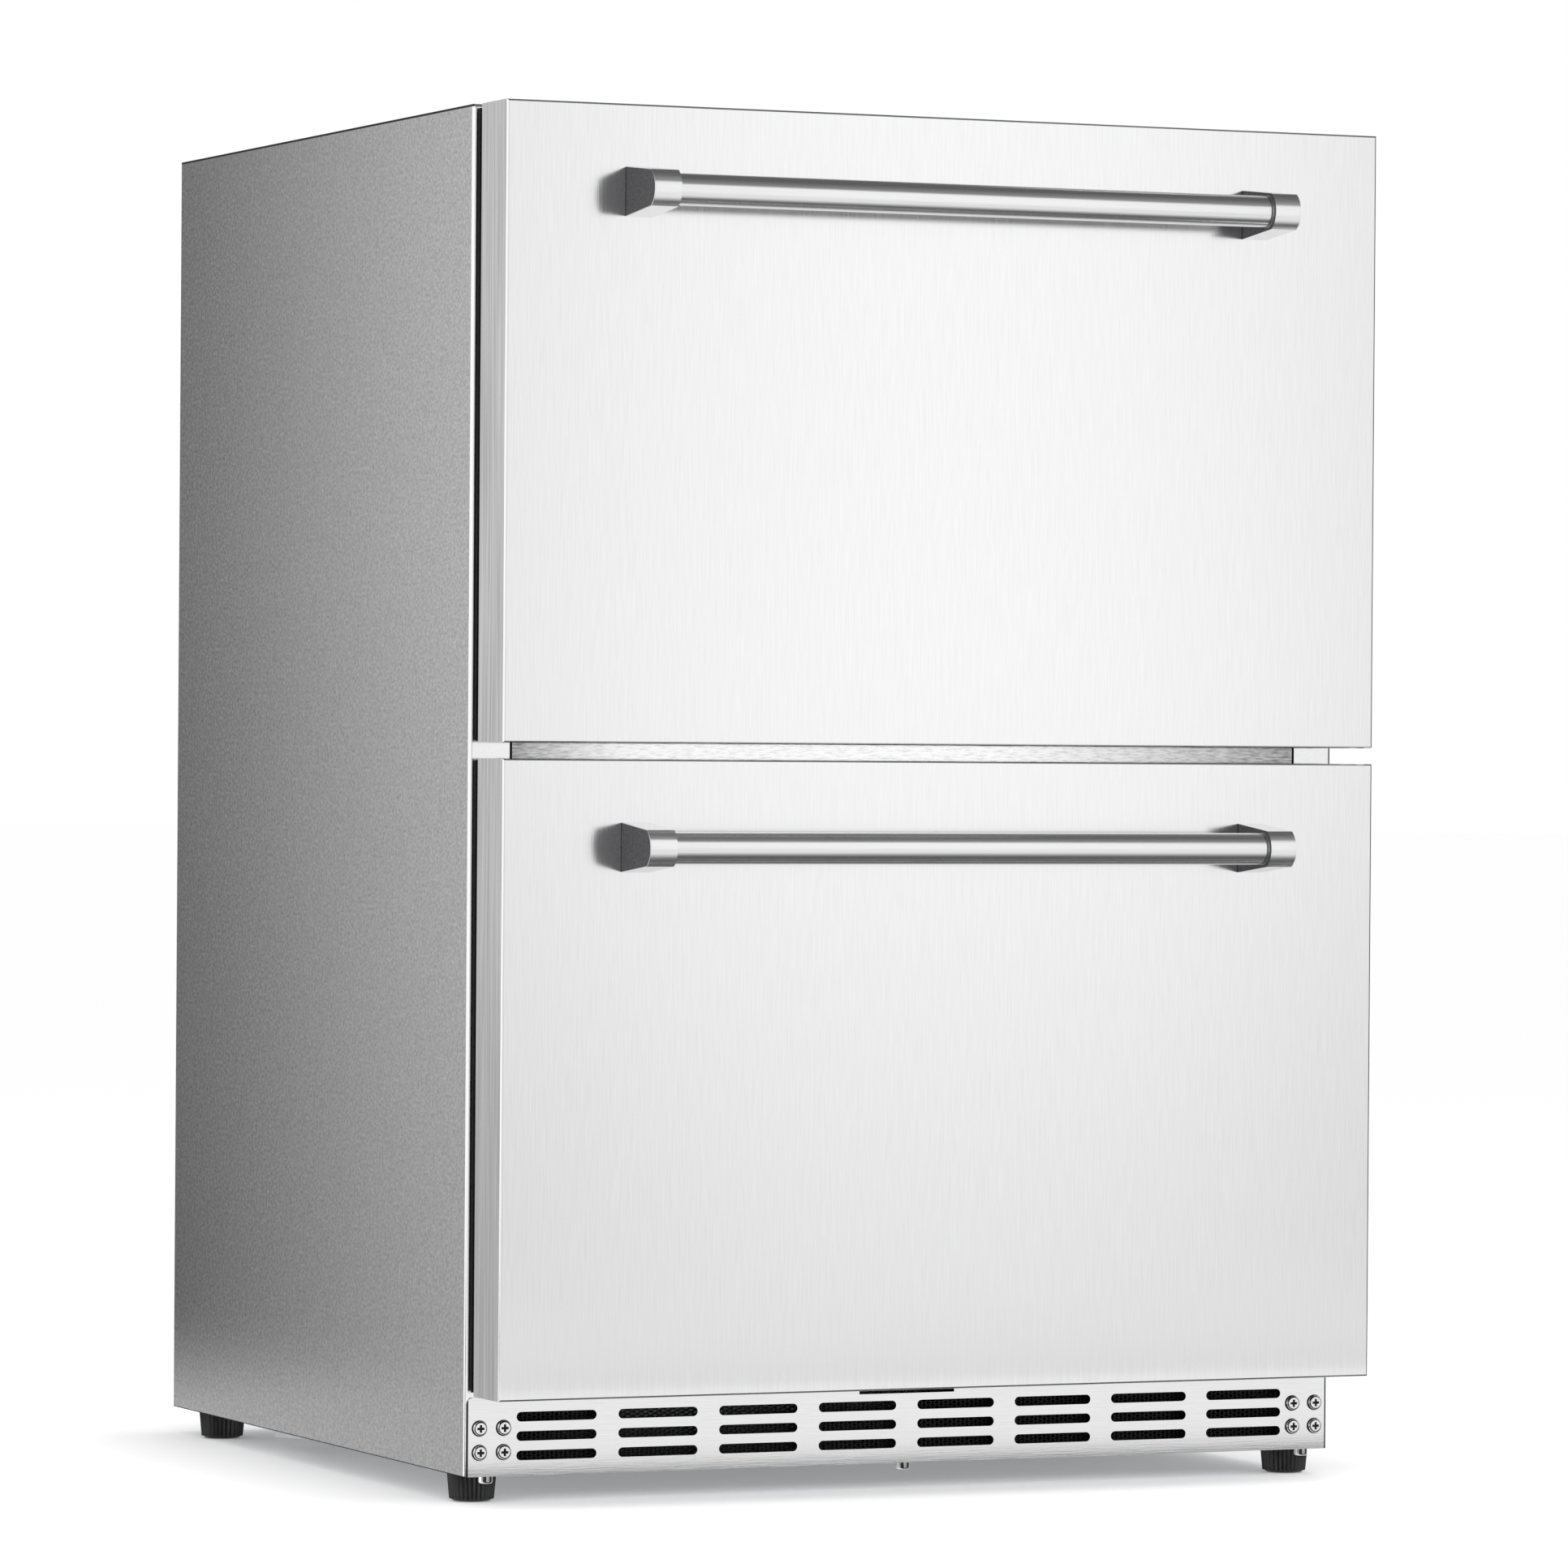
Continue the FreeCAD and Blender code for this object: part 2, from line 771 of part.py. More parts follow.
def power_inlet():
    seat = inlet_seat()
    width = inlet_width / 2
    height = inlet_height / 2
    lip = block(seat.x - width, seat.x + width, panel_y - inlet_lip, panel_y, seat.z - height, seat.z + height)
    inner_width = width - inlet_lip - screw_hole_clearance
    inner_height = height - inlet_lip - screw_hole_clearance
    body = block(seat.x - inner_width, seat.x + inner_width, seat.y - inlet_depth, seat.y,
                 seat.z - inner_height, seat.z + inner_height)
    well = block(seat.x - inner_width + inlet_wall, seat.x + inner_width - inlet_wall,
                 seat.y - inlet_depth + inlet_floor, seat.y + over,
                 seat.z - inner_height + inlet_wall, seat.z + inner_height - inlet_wall)
    socket = joined([lip, body]).cut(well)
    pins = []
    for i in (-1, 0, 1):
        x = seat.x + i * inlet_pin_pitch
        z = seat.z + (inlet_pin_offset if i else -inlet_pin_offset)
        pins.append(block(x - inlet_pin_width / 2, x + inlet_pin_width / 2, seat.y - inlet_depth + inlet_floor,
                          seat.y - inlet_floor, z - inlet_pin_height / 2, z + inlet_pin_height / 2))
    return joined([socket] + pins)


# Machine compartment

def compressor_base():
    return point(-compressor_offset, condenser_fan_y, pan_top_z + compressor_floor_gap)


def compressor_stubs():
    """Open ends of the three pipe stubs on the compressor's side."""
    tip = compressor_base() + point(compressor_radius + stub_length, 0, stub_rise)
    return [tip, tip - Y * stub_spread, tip + Y * stub_spread]


def compressor():
    base = compressor_base()
    plate = block(base.x - compressor_plate_x / 2, base.x + compressor_plate_x / 2,
                  base.y - compressor_plate_y / 2, base.y + compressor_plate_y / 2,
                  base.z, base.z + compressor_plate)
    plate = plate.makeFillet(grommet_inset / 2, edges_at(plate, Z, lambda m: True))
    low = base + Z * compressor_plate
    dome_radius = (compressor_radius ** 2 + compressor_dome ** 2) / (2 * compressor_dome)
    height = compressor_can_height + compressor_dome
    ball = Part.makeSphere(dome_radius, low + Z * (height - dome_radius))
    can = rod(compressor_radius, height, low, Z).common(ball)
    waist = rod(compressor_waist, compressor_waist_height, low + Z * compressor_can_height / 2, Z)
    length = compressor_radius / 2 + stub_length
    stubs = [rod(stub_radius, length, tip - X * length, X) for tip in compressor_stubs()]
    return joined([plate, can, waist] + stubs)


def compressor_grommets():
    base = compressor_base()
    pads = []
    for sx in (-1, 1):
        for sy in (-1, 1):
            x = base.x + sx * (compressor_plate_x / 2 - grommet_inset)
            y = base.y + sy * (compressor_plate_y / 2 - grommet_inset)
            pads.append(rod(grommet_diameter / 2, compressor_floor_gap, point(x, y, pan_top_z), Z))
    return Part.makeCompound(pads)


def condenser():
    y0 = condenser_fan_y - condenser_width / 2
    z0 = pan_top_z + condenser_floor_gap
    block_shape = fins(-condenser_width / 2, condenser_width / 2, 0, condenser_thickness, 0, condenser_height)
    block_shape.rotate(CENTRE, Z, 90)
    block_shape.translate(point(condenser_offset + condenser_thickness, condenser_fan_y, z0))
    feet = []
    for y in (y0, y0 + condenser_width - shroud_foot):
        feet.append(block(condenser_offset, condenser_offset + condenser_thickness, y, y + shroud_foot,
                          pan_top_z, z0))
    return joined([block_shape] + feet)


def fan_shroud():
    x = shroud_offset
    y0 = condenser_fan_y - shroud_width / 2
    plate = block(x, x + shroud_sheet, y0, y0 + shroud_width, pan_top_z, pan_top_z + shroud_height)
    foot_plate = block(x, x + shroud_foot, y0, y0 + shroud_width, pan_top_z, pan_top_z + shroud_sheet)
    opening = rod(fan_opening / 2, shroud_sheet + 2 * over, point(x - over, condenser_fan_y, condenser_fan_z), X)
    return joined([plate, foot_plate]).cut(opening)


def fan_motor(diameter, length, span, reach):
    """Motor on the Z axis with shaft upwards, carried by a flat bar with two legs."""
    body = rod(diameter / 2, length, Z * -length, Z)
    shaft = rod(fan_shaft_diameter / 2, fan_hub_length - fan_hub_floor, CENTRE, Z)
    low = -length
    bar = block(-span / 2, span / 2, -motor_bar_width / 2, motor_bar_width / 2, low, low + motor_bar_sheet)
    legs = []
    for side in (-1, 1):
        x0 = side * span / 2
        x1 = side * (span / 2 - motor_bar_sheet)
        legs.append(block(min(x0, x1), max(x0, x1), -motor_bar_width / 2, motor_bar_width / 2, low, low + reach))
    return joined([body, shaft, bar] + legs)


def condenser_fan_base():
    x = shroud_offset - fan_hub_length / 2
    return point(x, condenser_fan_y, condenser_fan_z)


def condenser_fan_motor():
    base = condenser_fan_base()
    reach = fan_motor_length + shroud_offset - base.x
    motor = fan_motor(fan_motor_diameter, fan_motor_length, fan_opening + 2 * fan_edge_inset,
                      reach)
    return facing(motor, base, X)


def condenser_fan_blade():
    return facing(fan(condenser_fan_diameter), condenser_fan_base() + X * fan_standoff, X)


def drain_pan():
    y = condenser_fan_y
    x0 = drain_pan_offset - drain_pan_width / 2
    x1 = drain_pan_offset + drain_pan_width / 2
    y0 = y - drain_pan_length / 2
    y1 = y + drain_pan_length / 2
    tray = block(x0, x1, y0, y1, pan_top_z, pan_top_z + drain_pan_height)
    wall = drain_pan_wall
    well = block(x0 + wall, x1 - wall, y0 + wall, y1 - wall, pan_top_z + wall, pan_top_z + drain_pan_height + over)
    return tray.cut(well)


def line_paths():
    """Discharge line over the fan shroud, suction and liquid lines up behind the liner to the evaporator."""
    starts = compressor_stubs()
    high = machine_z - line_ceiling_gap
    drop_x = condenser_offset + condenser_thickness / 2
    drop_z = pan_top_z + condenser_floor_gap + condenser_height
    first = starts[0]
    turn = first + X * line_run_out
    discharge = [first, turn, point(turn.x, turn.y, high), point(drop_x, turn.y, high),
                 point(drop_x, turn.y, drop_z)]
    paths = [discharge]
    wall_y = liner_back_y + line_wall_gap
    rise_z = evaporator_z + evaporator_height / 2
    front = liner_back_y - cover_wall
    for start, shift in zip(starts[1:], (2, 1)):
        low = point(start.x + line_run_out * shift, start.y, start.z)
        up = high - line_spacing * shift
        paths.append([start, low, point(low.x, low.y, up), point(low.x, wall_y, up),
                      point(low.x, wall_y, rise_z), point(low.x, front, rise_z)])
    return paths


def line_chases():
    return [tube(path, line_radius + line_chase_clearance) for path in line_paths()[1:]]


def refrigerant_lines():
    return Part.makeCompound([tube(path, line_radius) for path in line_paths()])


# Cold side

def evaporator():
    y1 = liner_back_y - cover_wall
    half = evaporator_width / 2
    return fins(-half, half, y1 - evaporator_depth, y1, evaporator_z, evaporator_z + evaporator_height)


def evaporator_cover():
    half = cover_width / 2
    high = ceiling_z - cover_head_gap
    shell = wide(half, evaporator_y, liner_back_y, cover_z, high)
    hollow = wide(half - cover_wall, evaporator_y + cover_wall, liner_back_y + over,
                  cover_z + cover_wall, high - cover_wall)
    shell = shell.makeFillet(liner_radius / 2, edges_at(shell, Y, lambda m: True))
    shell = shell.cut(hollow)
    hub = point(0, evaporator_y, evaporator_fan_z)
    cutters = []
    inner = fan_hub_diameter / 2
    outer = fan_grille_diameter / 2
    for i in range(grille_spokes):
        middle = hub + X * (inner + outer) / 2 - Y * over
        cutter = slot(outer - inner, spoke_slot, middle, cover_wall + 2 * over)
        cutter.rotate(hub, Y, 360 * i / grille_spokes)
        cutters.append(cutter)
    for i in range(return_slots):
        x = (i - (return_slots - 1) / 2) * return_slot_pitch
        z = cover_z + return_slot_rise + return_slot_height / 2
        cutters.append(upright_slot(return_slot_width, return_slot_height, point(x, evaporator_y - over, z),
                                    cover_wall + 2 * over))
    return without(shell, cutters)


def evaporator_fan_base():
    return point(0, liner_back_y - cover_wall - evaporator_motor_length, evaporator_fan_z)


def evaporator_fan_motor():
    reach = evaporator_motor_length + motor_bar_sheet
    motor = fan_motor(evaporator_motor_diameter, evaporator_motor_length,
                      evaporator_fan_diameter + 2 * fan_edge_inset, reach)
    placed = facing(motor, evaporator_fan_base(), -Y)
    pads = []
    base = evaporator_fan_base()
    for side in (-1, 1):
        x = side * evaporator_fan_diameter / 4
        pads.append(block(x - motor_bar_width / 2, x + motor_bar_width / 2, liner_back_y - cover_wall, liner_back_y,
                          base.z - motor_bar_width / 2, base.z + motor_bar_width / 2))
    return joined([placed] + pads)


def evaporator_fan_blade():
    return facing(fan(evaporator_fan_diameter), evaporator_fan_base() - Y * fan_standoff, -Y)


# Controls and lights

def control_face_y():
    return front_y + control_setback


def control_middle_z():
    return ceiling_z - control_height / 2


def control_housing():
    y = control_face_y()
    low = ceiling_z - control_height
    half = control_width / 2
    box = wide(half, y, y + control_depth, low, ceiling_z)
    box = box.makeFillet(control_wall, edges_at(box, X, lambda m: near(m.z, low)))
    hollow = wide(half - control_wall, y + control_wall, y + control_depth - control_wall,
                  low + control_wall, ceiling_z + over)
    window = wide(display_width / 2, y - over, y + control_wall + over,
                  control_middle_z() - display_height / 2, control_middle_z() + display_height / 2)
    cutters = [hollow, window]
    for x in button_places:
        cutters.append(rod(button_diameter / 2 + button_clearance, control_wall + 2 * over,
                           point(x, y - over, control_middle_z()), Y))
    return without(box, cutters)


def control_display():
    y = control_face_y()
    half = display_width / 2
    height = display_height / 2
    z = control_middle_z()
    lens = wide(half, y, y + control_wall, z - height, z + height)
    back = wide(half + control_wall, y + control_wall, y + control_wall + display_sheet,
                z - height - control_wall, z + height + control_wall)
    return joined([lens, back])


def button(x):
    y = control_face_y() - button_proud
    z = control_middle_z()
    cap = rod(button_diameter / 2, button_length, point(x, y, z), Y)
    rim = [e for e in cap.Edges if near(e.CenterOfMass.y, y)]
    cap = cap.makeFillet(button_proud / 2, rim)
    inside = y + button_proud + control_wall + button_clearance
    collar = rod(button_diameter / 2 + button_rim, button_rim, point(x, inside, z), Y)
    return joined([cap, collar])


def light_strips():
    half = light_length / 2
    y = front_y + light_setback
    upper = wide(half, y, y + light_width, ceiling_z - light_height, ceiling_z)
    y = front_y + lower_light_setback
    low = mullion_z - light_height
    lower = wide(half, y + skin, y + skin + light_width, low, mullion_z + skin)
    strips = []
    for strip, z in ((upper, ceiling_z - light_height), (lower, low)):
        strips.append(strip.makeFillet(light_height / 3, edges_at(strip, X, lambda m: near(m.z, z))))
    return Part.makeCompound(strips)


# Telescopic rails, built on the right and mirrored

def channel(web, lip, half, y0, y1, z, bead):
    """Rail between two distances from the liner wall: web at one side, lips at top and bottom, beads outside."""
    wall = liner_half
    sheet = rail_sheet
    near_web, far_web = web
    shapes = [block(wall - far_web, wall - near_web, y0, y1, z - half, z + half)]
    near_lip, far_lip = lip
    for side in (-1, 1):
        outer = z + side * half
        inner = z + side * (half - sheet)
        shapes.append(block(wall - far_lip, wall - near_lip, y0, y1, min(outer, inner), max(outer, inner)))
        if bead:
            middle = (near_lip + far_lip) / 2
            tip = z + side * (half + bead)
            shapes.append(block(wall - middle - rail_bead_width / 2, wall - middle + rail_bead_width / 2, y0, y1,
                                min(outer, tip), max(outer, tip)))
    return joined(shapes)


cabinet_half = rail_height / 2
middle_half = cabinet_half - rail_sheet - rail_track
drawer_half = middle_half - rail_sheet - rail_track
middle_web = rail_sheet + rail_web_clearance
middle_lip = rail_thickness - rail_sheet - rail_web_clearance
drawer_web = rail_thickness - rail_sheet
drawer_lip = middle_web + rail_sheet + rail_web_clearance


def cabinet_rails(z):
    rail = channel((0, rail_sheet), (0, drawer_web - rail_web_clearance), cabinet_half,
                   rail_y, rail_y + rail_length, z, 0)
    return Part.makeCompound(both_sides(rail))


def middle_rails(z):
    rail = channel((middle_web, middle_web + rail_sheet), (middle_web, middle_lip), middle_half,
                   rail_y, rail_y + rail_length, z, rail_track - rail_bead_clearance)
    return Part.makeCompound(both_sides(rail))


def drawer_rails(z):
    rail = channel((drawer_web, rail_thickness), (drawer_lip, rail_thickness), drawer_half,
                   rail_y, rail_y + rail_length, z, rail_track - rail_bead_clearance)
    wall = liner_half
    arm = block(wall - rail_thickness, wall - drawer_web, plug_y, rail_y, z - drawer_half, z + drawer_half)
    flange = block(wall - rail_thickness - rail_flange, wall - drawer_web, plug_y, plug_y + rail_flange_sheet,
                   z - drawer_half, z + drawer_half)
    rail = joined([rail, arm, flange])
    return Part.makeCompound([without(r, holes(flange_screws(z))) for r in both_sides(rail)])


# Drawers

def flange_screws(z):
    seats = []
    for side in (-1, 1):
        for step in (-1, 1):
            x = side * (bin_half - rail_flange + flange_screw_inset)
            seats.append((point(x, plug_y + rail_flange_sheet, z + step * flange_screw_pitch / 2), -Y))
    return seats


def handle_axis(front_z):
    return point(0, face_y - bar_axis_reach, front_z + front_height - handle_drop)


def post_middle():
    return handle_length / 2 - post_width / 2


def handle_screw_seats(front_z):
    z = handle_axis(front_z).z
    return [(point(side * post_middle(), face_y + skin, z), -Y) for side in (-1, 1)]


def front_skin(front_z):
    outer = wide(half_width, face_y, fronts_y, front_z, front_z + front_height)
    rim = edges_at(outer, X, lambda m: near(m.y, face_y)) + edges_at(outer, Z, lambda m: near(m.y, face_y))
    outer = outer.makeFillet(front_edge_radius, rim)
    inner = wide(inner_half, face_y + skin, fronts_y + over, front_z + skin, front_z + front_height - skin)
    return without(outer, [inner] + holes(handle_screw_seats(front_z)))


def plug(low, high, inset):
    """Raised part of the drawer's inner face, that enters the opening of the cabinet."""
    half = liner_half - plug_clearance - inset
    return wide(half, fronts_y - liner_sheet, plug_y - inset, low + plug_clearance + inset,
                high - plug_clearance - inset)


def rounded_plug(low, high, inset):
    body = plug(low, high, inset)
    corners = edges_at(body, Y, lambda m: True)
    return body.makeFillet(liner_radius - inset, corners)


def front_liner(front_z, low, high, rail_z):
    plate = wide(inner_half, fronts_y - liner_sheet, fronts_y, front_z + skin, front_z + front_height - skin)
    shell = joined([plate, rounded_plug(low, high, 0)])
    inside = rounded_plug(low, high, liner_sheet)
    inside = inside.fuse(inside.translated(-Y * over))
    return without(shell, [inside] + holes(flange_screws(rail_z)))


def front_foam(front_z, low, high, rail_z):
    slab = wide(inner_half, face_y + skin, fronts_y - liner_sheet, front_z + skin, front_z + front_height - skin)
    foam = joined([slab, rounded_plug(low, high, liner_sheet)])
    pockets = []
    for seat, along in handle_screw_seats(front_z):
        pockets.append(rod(screw_head_diameter / 2 + screw_hole_clearance, screw_head_height + screw_hole_clearance,
                           seat, -along))
    return without(foam, pockets + holes(flange_screws(rail_z)))


def ring(front_z, inset, width, y0, y1):
    outer = wide(half_width - inset, y0, y1, front_z + inset, front_z + front_height - inset)
    far = inset + width
    inner = wide(half_width - far, y0 - over, y1 + over, front_z + far, front_z + front_height - far)
    return outer.cut(inner)


def gasket(front_z):
    neck_inset = gasket_inset + (gasket_width - gasket_neck) / 2
    y1 = fronts_y + gasket_foot
    y2 = y1 + gasket_fold
    foot_ring = ring(front_z, gasket_inset, gasket_width, fronts_y, y1)
    neck_ring = ring(front_z, neck_inset, gasket_neck, y1, y2)
    head_ring = ring(front_z, gasket_inset, gasket_width, y2, front_y - gasket_clearance)
    return joined([foot_ring, neck_ring, head_ring])


def handle_bar(front_z):
    length = handle_length - 2 * (post_width - bar_socket_depth)
    axis = handle_axis(front_z)
    return rod(bar_diameter / 2 - bar_socket_clearance, length, axis - X * length / 2, X)


def handle_posts(front_z):
    axis = handle_axis(front_z)
    x = handle_length / 2 - post_width
    base = post_base_height / 2
    nose = post_nose_height / 2
    a = point(x, face_y, axis.z - base)
    b = point(x, face_y - post_nose_start, axis.z - nose)
    tip = point(x, face_y - post_reach, axis.z)
    c = point(x, face_y - post_nose_start, axis.z + nose)
    d = point(x, face_y, axis.z + base)
    outline = Part.Wire([Part.makeLine(a, b), Part.Arc(b, tip, c).toShape(), Part.makeLine(c, d),
                         Part.makeLine(d, a)])
    post = Part.Face(outline).extrude(X * post_width)
    corners = edges_at(post, X, lambda m: near(m.y, b.y))
    post = post.makeFillet(post_corner_radius, corners)
    end = [e for e in post.Edges if near(e.CenterOfMass.x, x + post_width) and e.CenterOfMass.y < face_y - bend]
    post = post.makeFillet(post_edge_radius, end)
    radius = bar_diameter / 2
    mouth = point(x, axis.y, axis.z)
    socket = rod(radius, bar_socket_depth + over, mouth - X * over, X)
    bevel = Part.makeCone(radius + bar_socket_chamfer, radius, bar_socket_chamfer, mouth, X)
    post = without(post, [socket, bevel])
    return Part.makeCompound([without(p, holes(handle_screw_seats(front_z))) for p in both_sides(post)])


def drawer_screws(front_z, rail_z):
    seats = handle_screw_seats(front_z) + flange_screws(rail_z)
    return Part.makeCompound([screw(seat, along) for seat, along in seats])


def bin_shell(inset, depth, z, top):
    half = bin_half - inset
    body = wide(half, bin_y + inset, bin_y + depth - inset, z + inset, top)
    body = body.makeFillet(bin_corner_radius - inset, edges_at(body, Z, lambda m: True))
    floor = [e for e in body.Edges if near(e.CenterOfMass.z, z + inset)]
    return body.makeFillet(bin_floor_radius - inset, floor)


def drawer_bin(depth, z, height):
    top = z + height
    walls = bin_shell(0, depth, z, top).cut(bin_shell(bin_sheet, depth, z, top + over))
    outer = bin_shell(bin_sheet, depth, z, top)
    inner = bin_shell(2 * bin_sheet, depth, z, top + over)
    low = wide(half_width, bin_y - over, bin_y + depth + over, z - over, top - bin_hem)
    hem = outer.cut(inner).cut(low)
    return joined([walls, hem])


def drawer(name, front_z, low, high, rail_z, bin_size):
    return {
        name + "_front_skin": front_skin(front_z),
        name + "_front_foam": front_foam(front_z, low, high, rail_z),
        name + "_front_liner": front_liner(front_z, low, high, rail_z),
        name + "_gasket": gasket(front_z),
        name + "_handle_bar": handle_bar(front_z),
        name + "_handle_posts": handle_posts(front_z),
        name + "_drawer_screws": drawer_screws(front_z, rail_z),
        name + "_drawer_rails": drawer_rails(rail_z),
        name + "_middle_rails": middle_rails(rail_z),
        name + "_cabinet_rails": cabinet_rails(rail_z),
        name + "_bin": drawer_bin(*bin_size),
    }


def pieces():
    side = side_panel()
    nodes = {
        "right_side_panel": side,
        "left_side_panel": other_side(side),
        "top_panel": top_panel(),
        "back_panel": back_panel(),
        "base_pan": base_pan(),
        "machine_divider": machine_divider(),
        "cabinet_insulation": cabinet_insulation(),
        "inner_liner": inner_liner(),
        "cross_rails": cross_rails(),
        "mullion_core": mullion_core(),
        "corner_brackets": corner_brackets(),
        "kick_grille": kick_grille(),
        "air_filter": air_filter(),
        "panel_screws": panel_screws(),
        "rear_cover": rear_cover(),
        "power_inlet": power_inlet(),
        "compressor": compressor(),
        "compressor_grommets": compressor_grommets(),
        "condenser": condenser(),
        "fan_shroud": fan_shroud(),
        "condenser_fan_motor": condenser_fan_motor(),
        "condenser_fan_blade": condenser_fan_blade(),
        "drain_pan": drain_pan(),
        "refrigerant_lines": refrigerant_lines(),
        "evaporator": evaporator(),
        "evaporator_cover": evaporator_cover(),
        "evaporator_fan_motor": evaporator_fan_motor(),
        "evaporator_fan_blade": evaporator_fan_blade(),
        "control_housing": control_housing(),
        "control_display": control_display(),
        "light_strips": light_strips(),
    }
    for name, x in zip(("power_button", "cooler_button", "warmer_button"), button_places):
        nodes[name] = button(x)
    for name, (x, y) in foot_places().items():
        nodes[name] = foot(x, y)
    upper_bin = (upper_bin_depth, upper_bin_z, upper_bin_height)
    lower_bin = (lower_bin_depth, lower_bin_z, lower_bin_height)
    nodes.update(drawer("upper", upper_front_z, mullion_top_z, ceiling_z, upper_rail_z, upper_bin))
    nodes.update(drawer("lower", lower_front_z, floor_z, mullion_z, lower_rail_z, lower_bin))
    return nodes


os.makedirs("parts", exist_ok=True)
for node, shape in pieces().items():
    shape.exportStep("parts/" + node + ".step")
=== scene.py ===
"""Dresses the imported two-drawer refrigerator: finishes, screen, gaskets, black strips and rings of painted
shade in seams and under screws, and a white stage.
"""
import math
import bpy
import numpy as np
from bpy.props import FloatProperty, FloatVectorProperty, PointerProperty
from mathutils import Matrix, Vector


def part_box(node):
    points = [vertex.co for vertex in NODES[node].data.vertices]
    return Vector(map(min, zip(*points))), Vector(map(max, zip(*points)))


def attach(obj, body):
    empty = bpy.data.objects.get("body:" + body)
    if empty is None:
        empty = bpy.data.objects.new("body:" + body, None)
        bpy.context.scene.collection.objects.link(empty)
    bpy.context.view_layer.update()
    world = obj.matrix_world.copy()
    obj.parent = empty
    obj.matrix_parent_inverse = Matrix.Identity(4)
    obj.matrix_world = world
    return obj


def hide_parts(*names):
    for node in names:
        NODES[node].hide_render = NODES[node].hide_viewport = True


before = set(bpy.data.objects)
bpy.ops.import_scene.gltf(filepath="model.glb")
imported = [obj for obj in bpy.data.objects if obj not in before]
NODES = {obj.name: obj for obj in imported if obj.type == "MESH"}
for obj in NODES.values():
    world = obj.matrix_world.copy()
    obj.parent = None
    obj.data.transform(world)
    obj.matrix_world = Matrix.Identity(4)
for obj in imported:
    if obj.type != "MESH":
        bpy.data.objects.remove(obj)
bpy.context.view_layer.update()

bl_info = {
    "name": "Two-drawer refrigerator",
    "version": (1, 0, 0),
    "blender": (4, 5, 0),
    "location": "3D View > Sidebar > Refrigerator",
    "description": "Finishes and small pieces for an under-counter refrigerator with two drawers",
    "category": "Object",
}

SIDEWAYS, BACKWARD, UPWARD = range(3)
LEVELS = ("upper", "lower")

# Colours and relief that several finishes share
# Black of the painted shade along edges, seams and joints
SHADE_LINE_BLACK = (0.02, 0.02, 0.02)
WHITE = (1.0, 1.0, 1.0)
FINE_RELIEF = 2.0e-5

# Lines of painted shade, in metres: where one begins and where it is full, measured inward from the edge
# that it follows. Both are negative where inward is the way to larger values.
GRILLE_END_SHADE = (0.0012, 0.0008)
TOP_EDGE_SHADE = (0.0018, 0.0014)
FOOT_EDGE_SHADE = (-0.0007, -0.0004)
SIDE_SKIN = (0.0011, 0.0009)
POST_JOINT_SHADE = (0.0011, 0.0006)
RECESS_FLOOR_SHADE = (-0.0003, -0.0005)

# Other lengths, in metres
# Depth of the recess floors and reach of the occlusion that paint shade into the screw recesses
RECESS_END = 0.0024
RECESS_REACH = 0.0016
LAMP_PITCH, RIB_PITCH = 0.02, 0.0012
LAMP_CORE, LAMP_EDGE = 0.0009, 0.0016
STRIP_HALF_WIDTH, STRIP_HALF_DEPTH = 0.00079, 0.0004
STRIP_OFFSET, STRIP_SETBACK, STRIP_OVERLAP = 0.0008, 0.0006, 0.0009
GRILLE_END_GAP = 0.001
SCREW_INSET, SCREW_COLUMN, SCREW_ROW = 0.0095, 0.016, 0.015
# Black rings of painted shade round the grille screw heads
SHADE_RING_INNER, SHADE_RING_OUTER, SHADE_RING_HEIGHT, SHADE_RING_LIFT = 0.0044, 0.0051, 0.0006, 0.00005
GASKET_WIDTH, GASKET_REACH = 0.014, 0.004
FLOOR_Z, LOW_CARD_Z = -0.0004, 0.004
FLOOR_RADII = (0.0, 1.0, 3.0, 9.0, 40.0)

# Camera: x from the middle of the part, y and z from the front foot of the left side, in metres
CAMERA_X, CAMERA_Y, CAMERA_Z = -2.03435, -4.42063, 0.45205
SENSOR_MM = 36.0


def tint(title, words, default):
    return FloatVectorProperty(name=title, description=words, default=default, subtype="COLOR", size=3,
                               min=0, max=1)


def length(title, words, default):
    return FloatProperty(name=title, description=words, default=default, unit="LENGTH", min=0)


def amount(title, words, default):
    return FloatProperty(name=title, description=words, default=default, subtype="FACTOR", min=0, max=1)


def angle(title, words, degrees):
    return FloatProperty(name=title, description=words, default=math.radians(degrees), unit="ROTATION")


# Shader trees

class Wire:
    """One output socket; arithmetic on it adds Math nodes to the same tree."""

    def __init__(self, shader, socket):
        self.shader = shader
        self.socket = socket

    def maths(self, operation, first, second=0.0, clamp=False):
        return self.shader.node("ShaderNodeMath", {"operation": operation, "use_clamp": clamp},
                                {0: first, 1: second})

    def __add__(self, other):
        return self.maths("ADD", self, other)

    __radd__ = __add__

    def __sub__(self, other):
        return self.maths("SUBTRACT", self, other)

    def __rsub__(self, other):
        return self.maths("SUBTRACT", other, self)

    def __mul__(self, other):
        return self.maths("MULTIPLY", self, other)

    __rmul__ = __mul__

    def __pow__(self, other):
        return self.maths("POWER", self, other)

    def __abs__(self):
        return self.maths("ABSOLUTE", self)

    def __lt__(self, other):
        return self.maths("LESS_THAN", self, other)

    def larger(self, other):
        return self.maths("MAXIMUM", self, other)

    def smaller(self, other):
        return self.maths("MINIMUM", self, other)

    def between(self, start, end):
        """Nought at the start, one at the end, and straight between them."""
        return self.maths("DIVIDE", self - start, end - start, clamp=True)

    def within(self, edge, line):
        """One on a painted line that follows an edge on its inner side, and nought before it."""
        return self.between(edge - line[0], edge - line[1])

    def repeat(self, period):
        """Distance from the middle of the nearest repeat, 0 to half a period."""
        return self.maths("PINGPONG", self, period / 2)


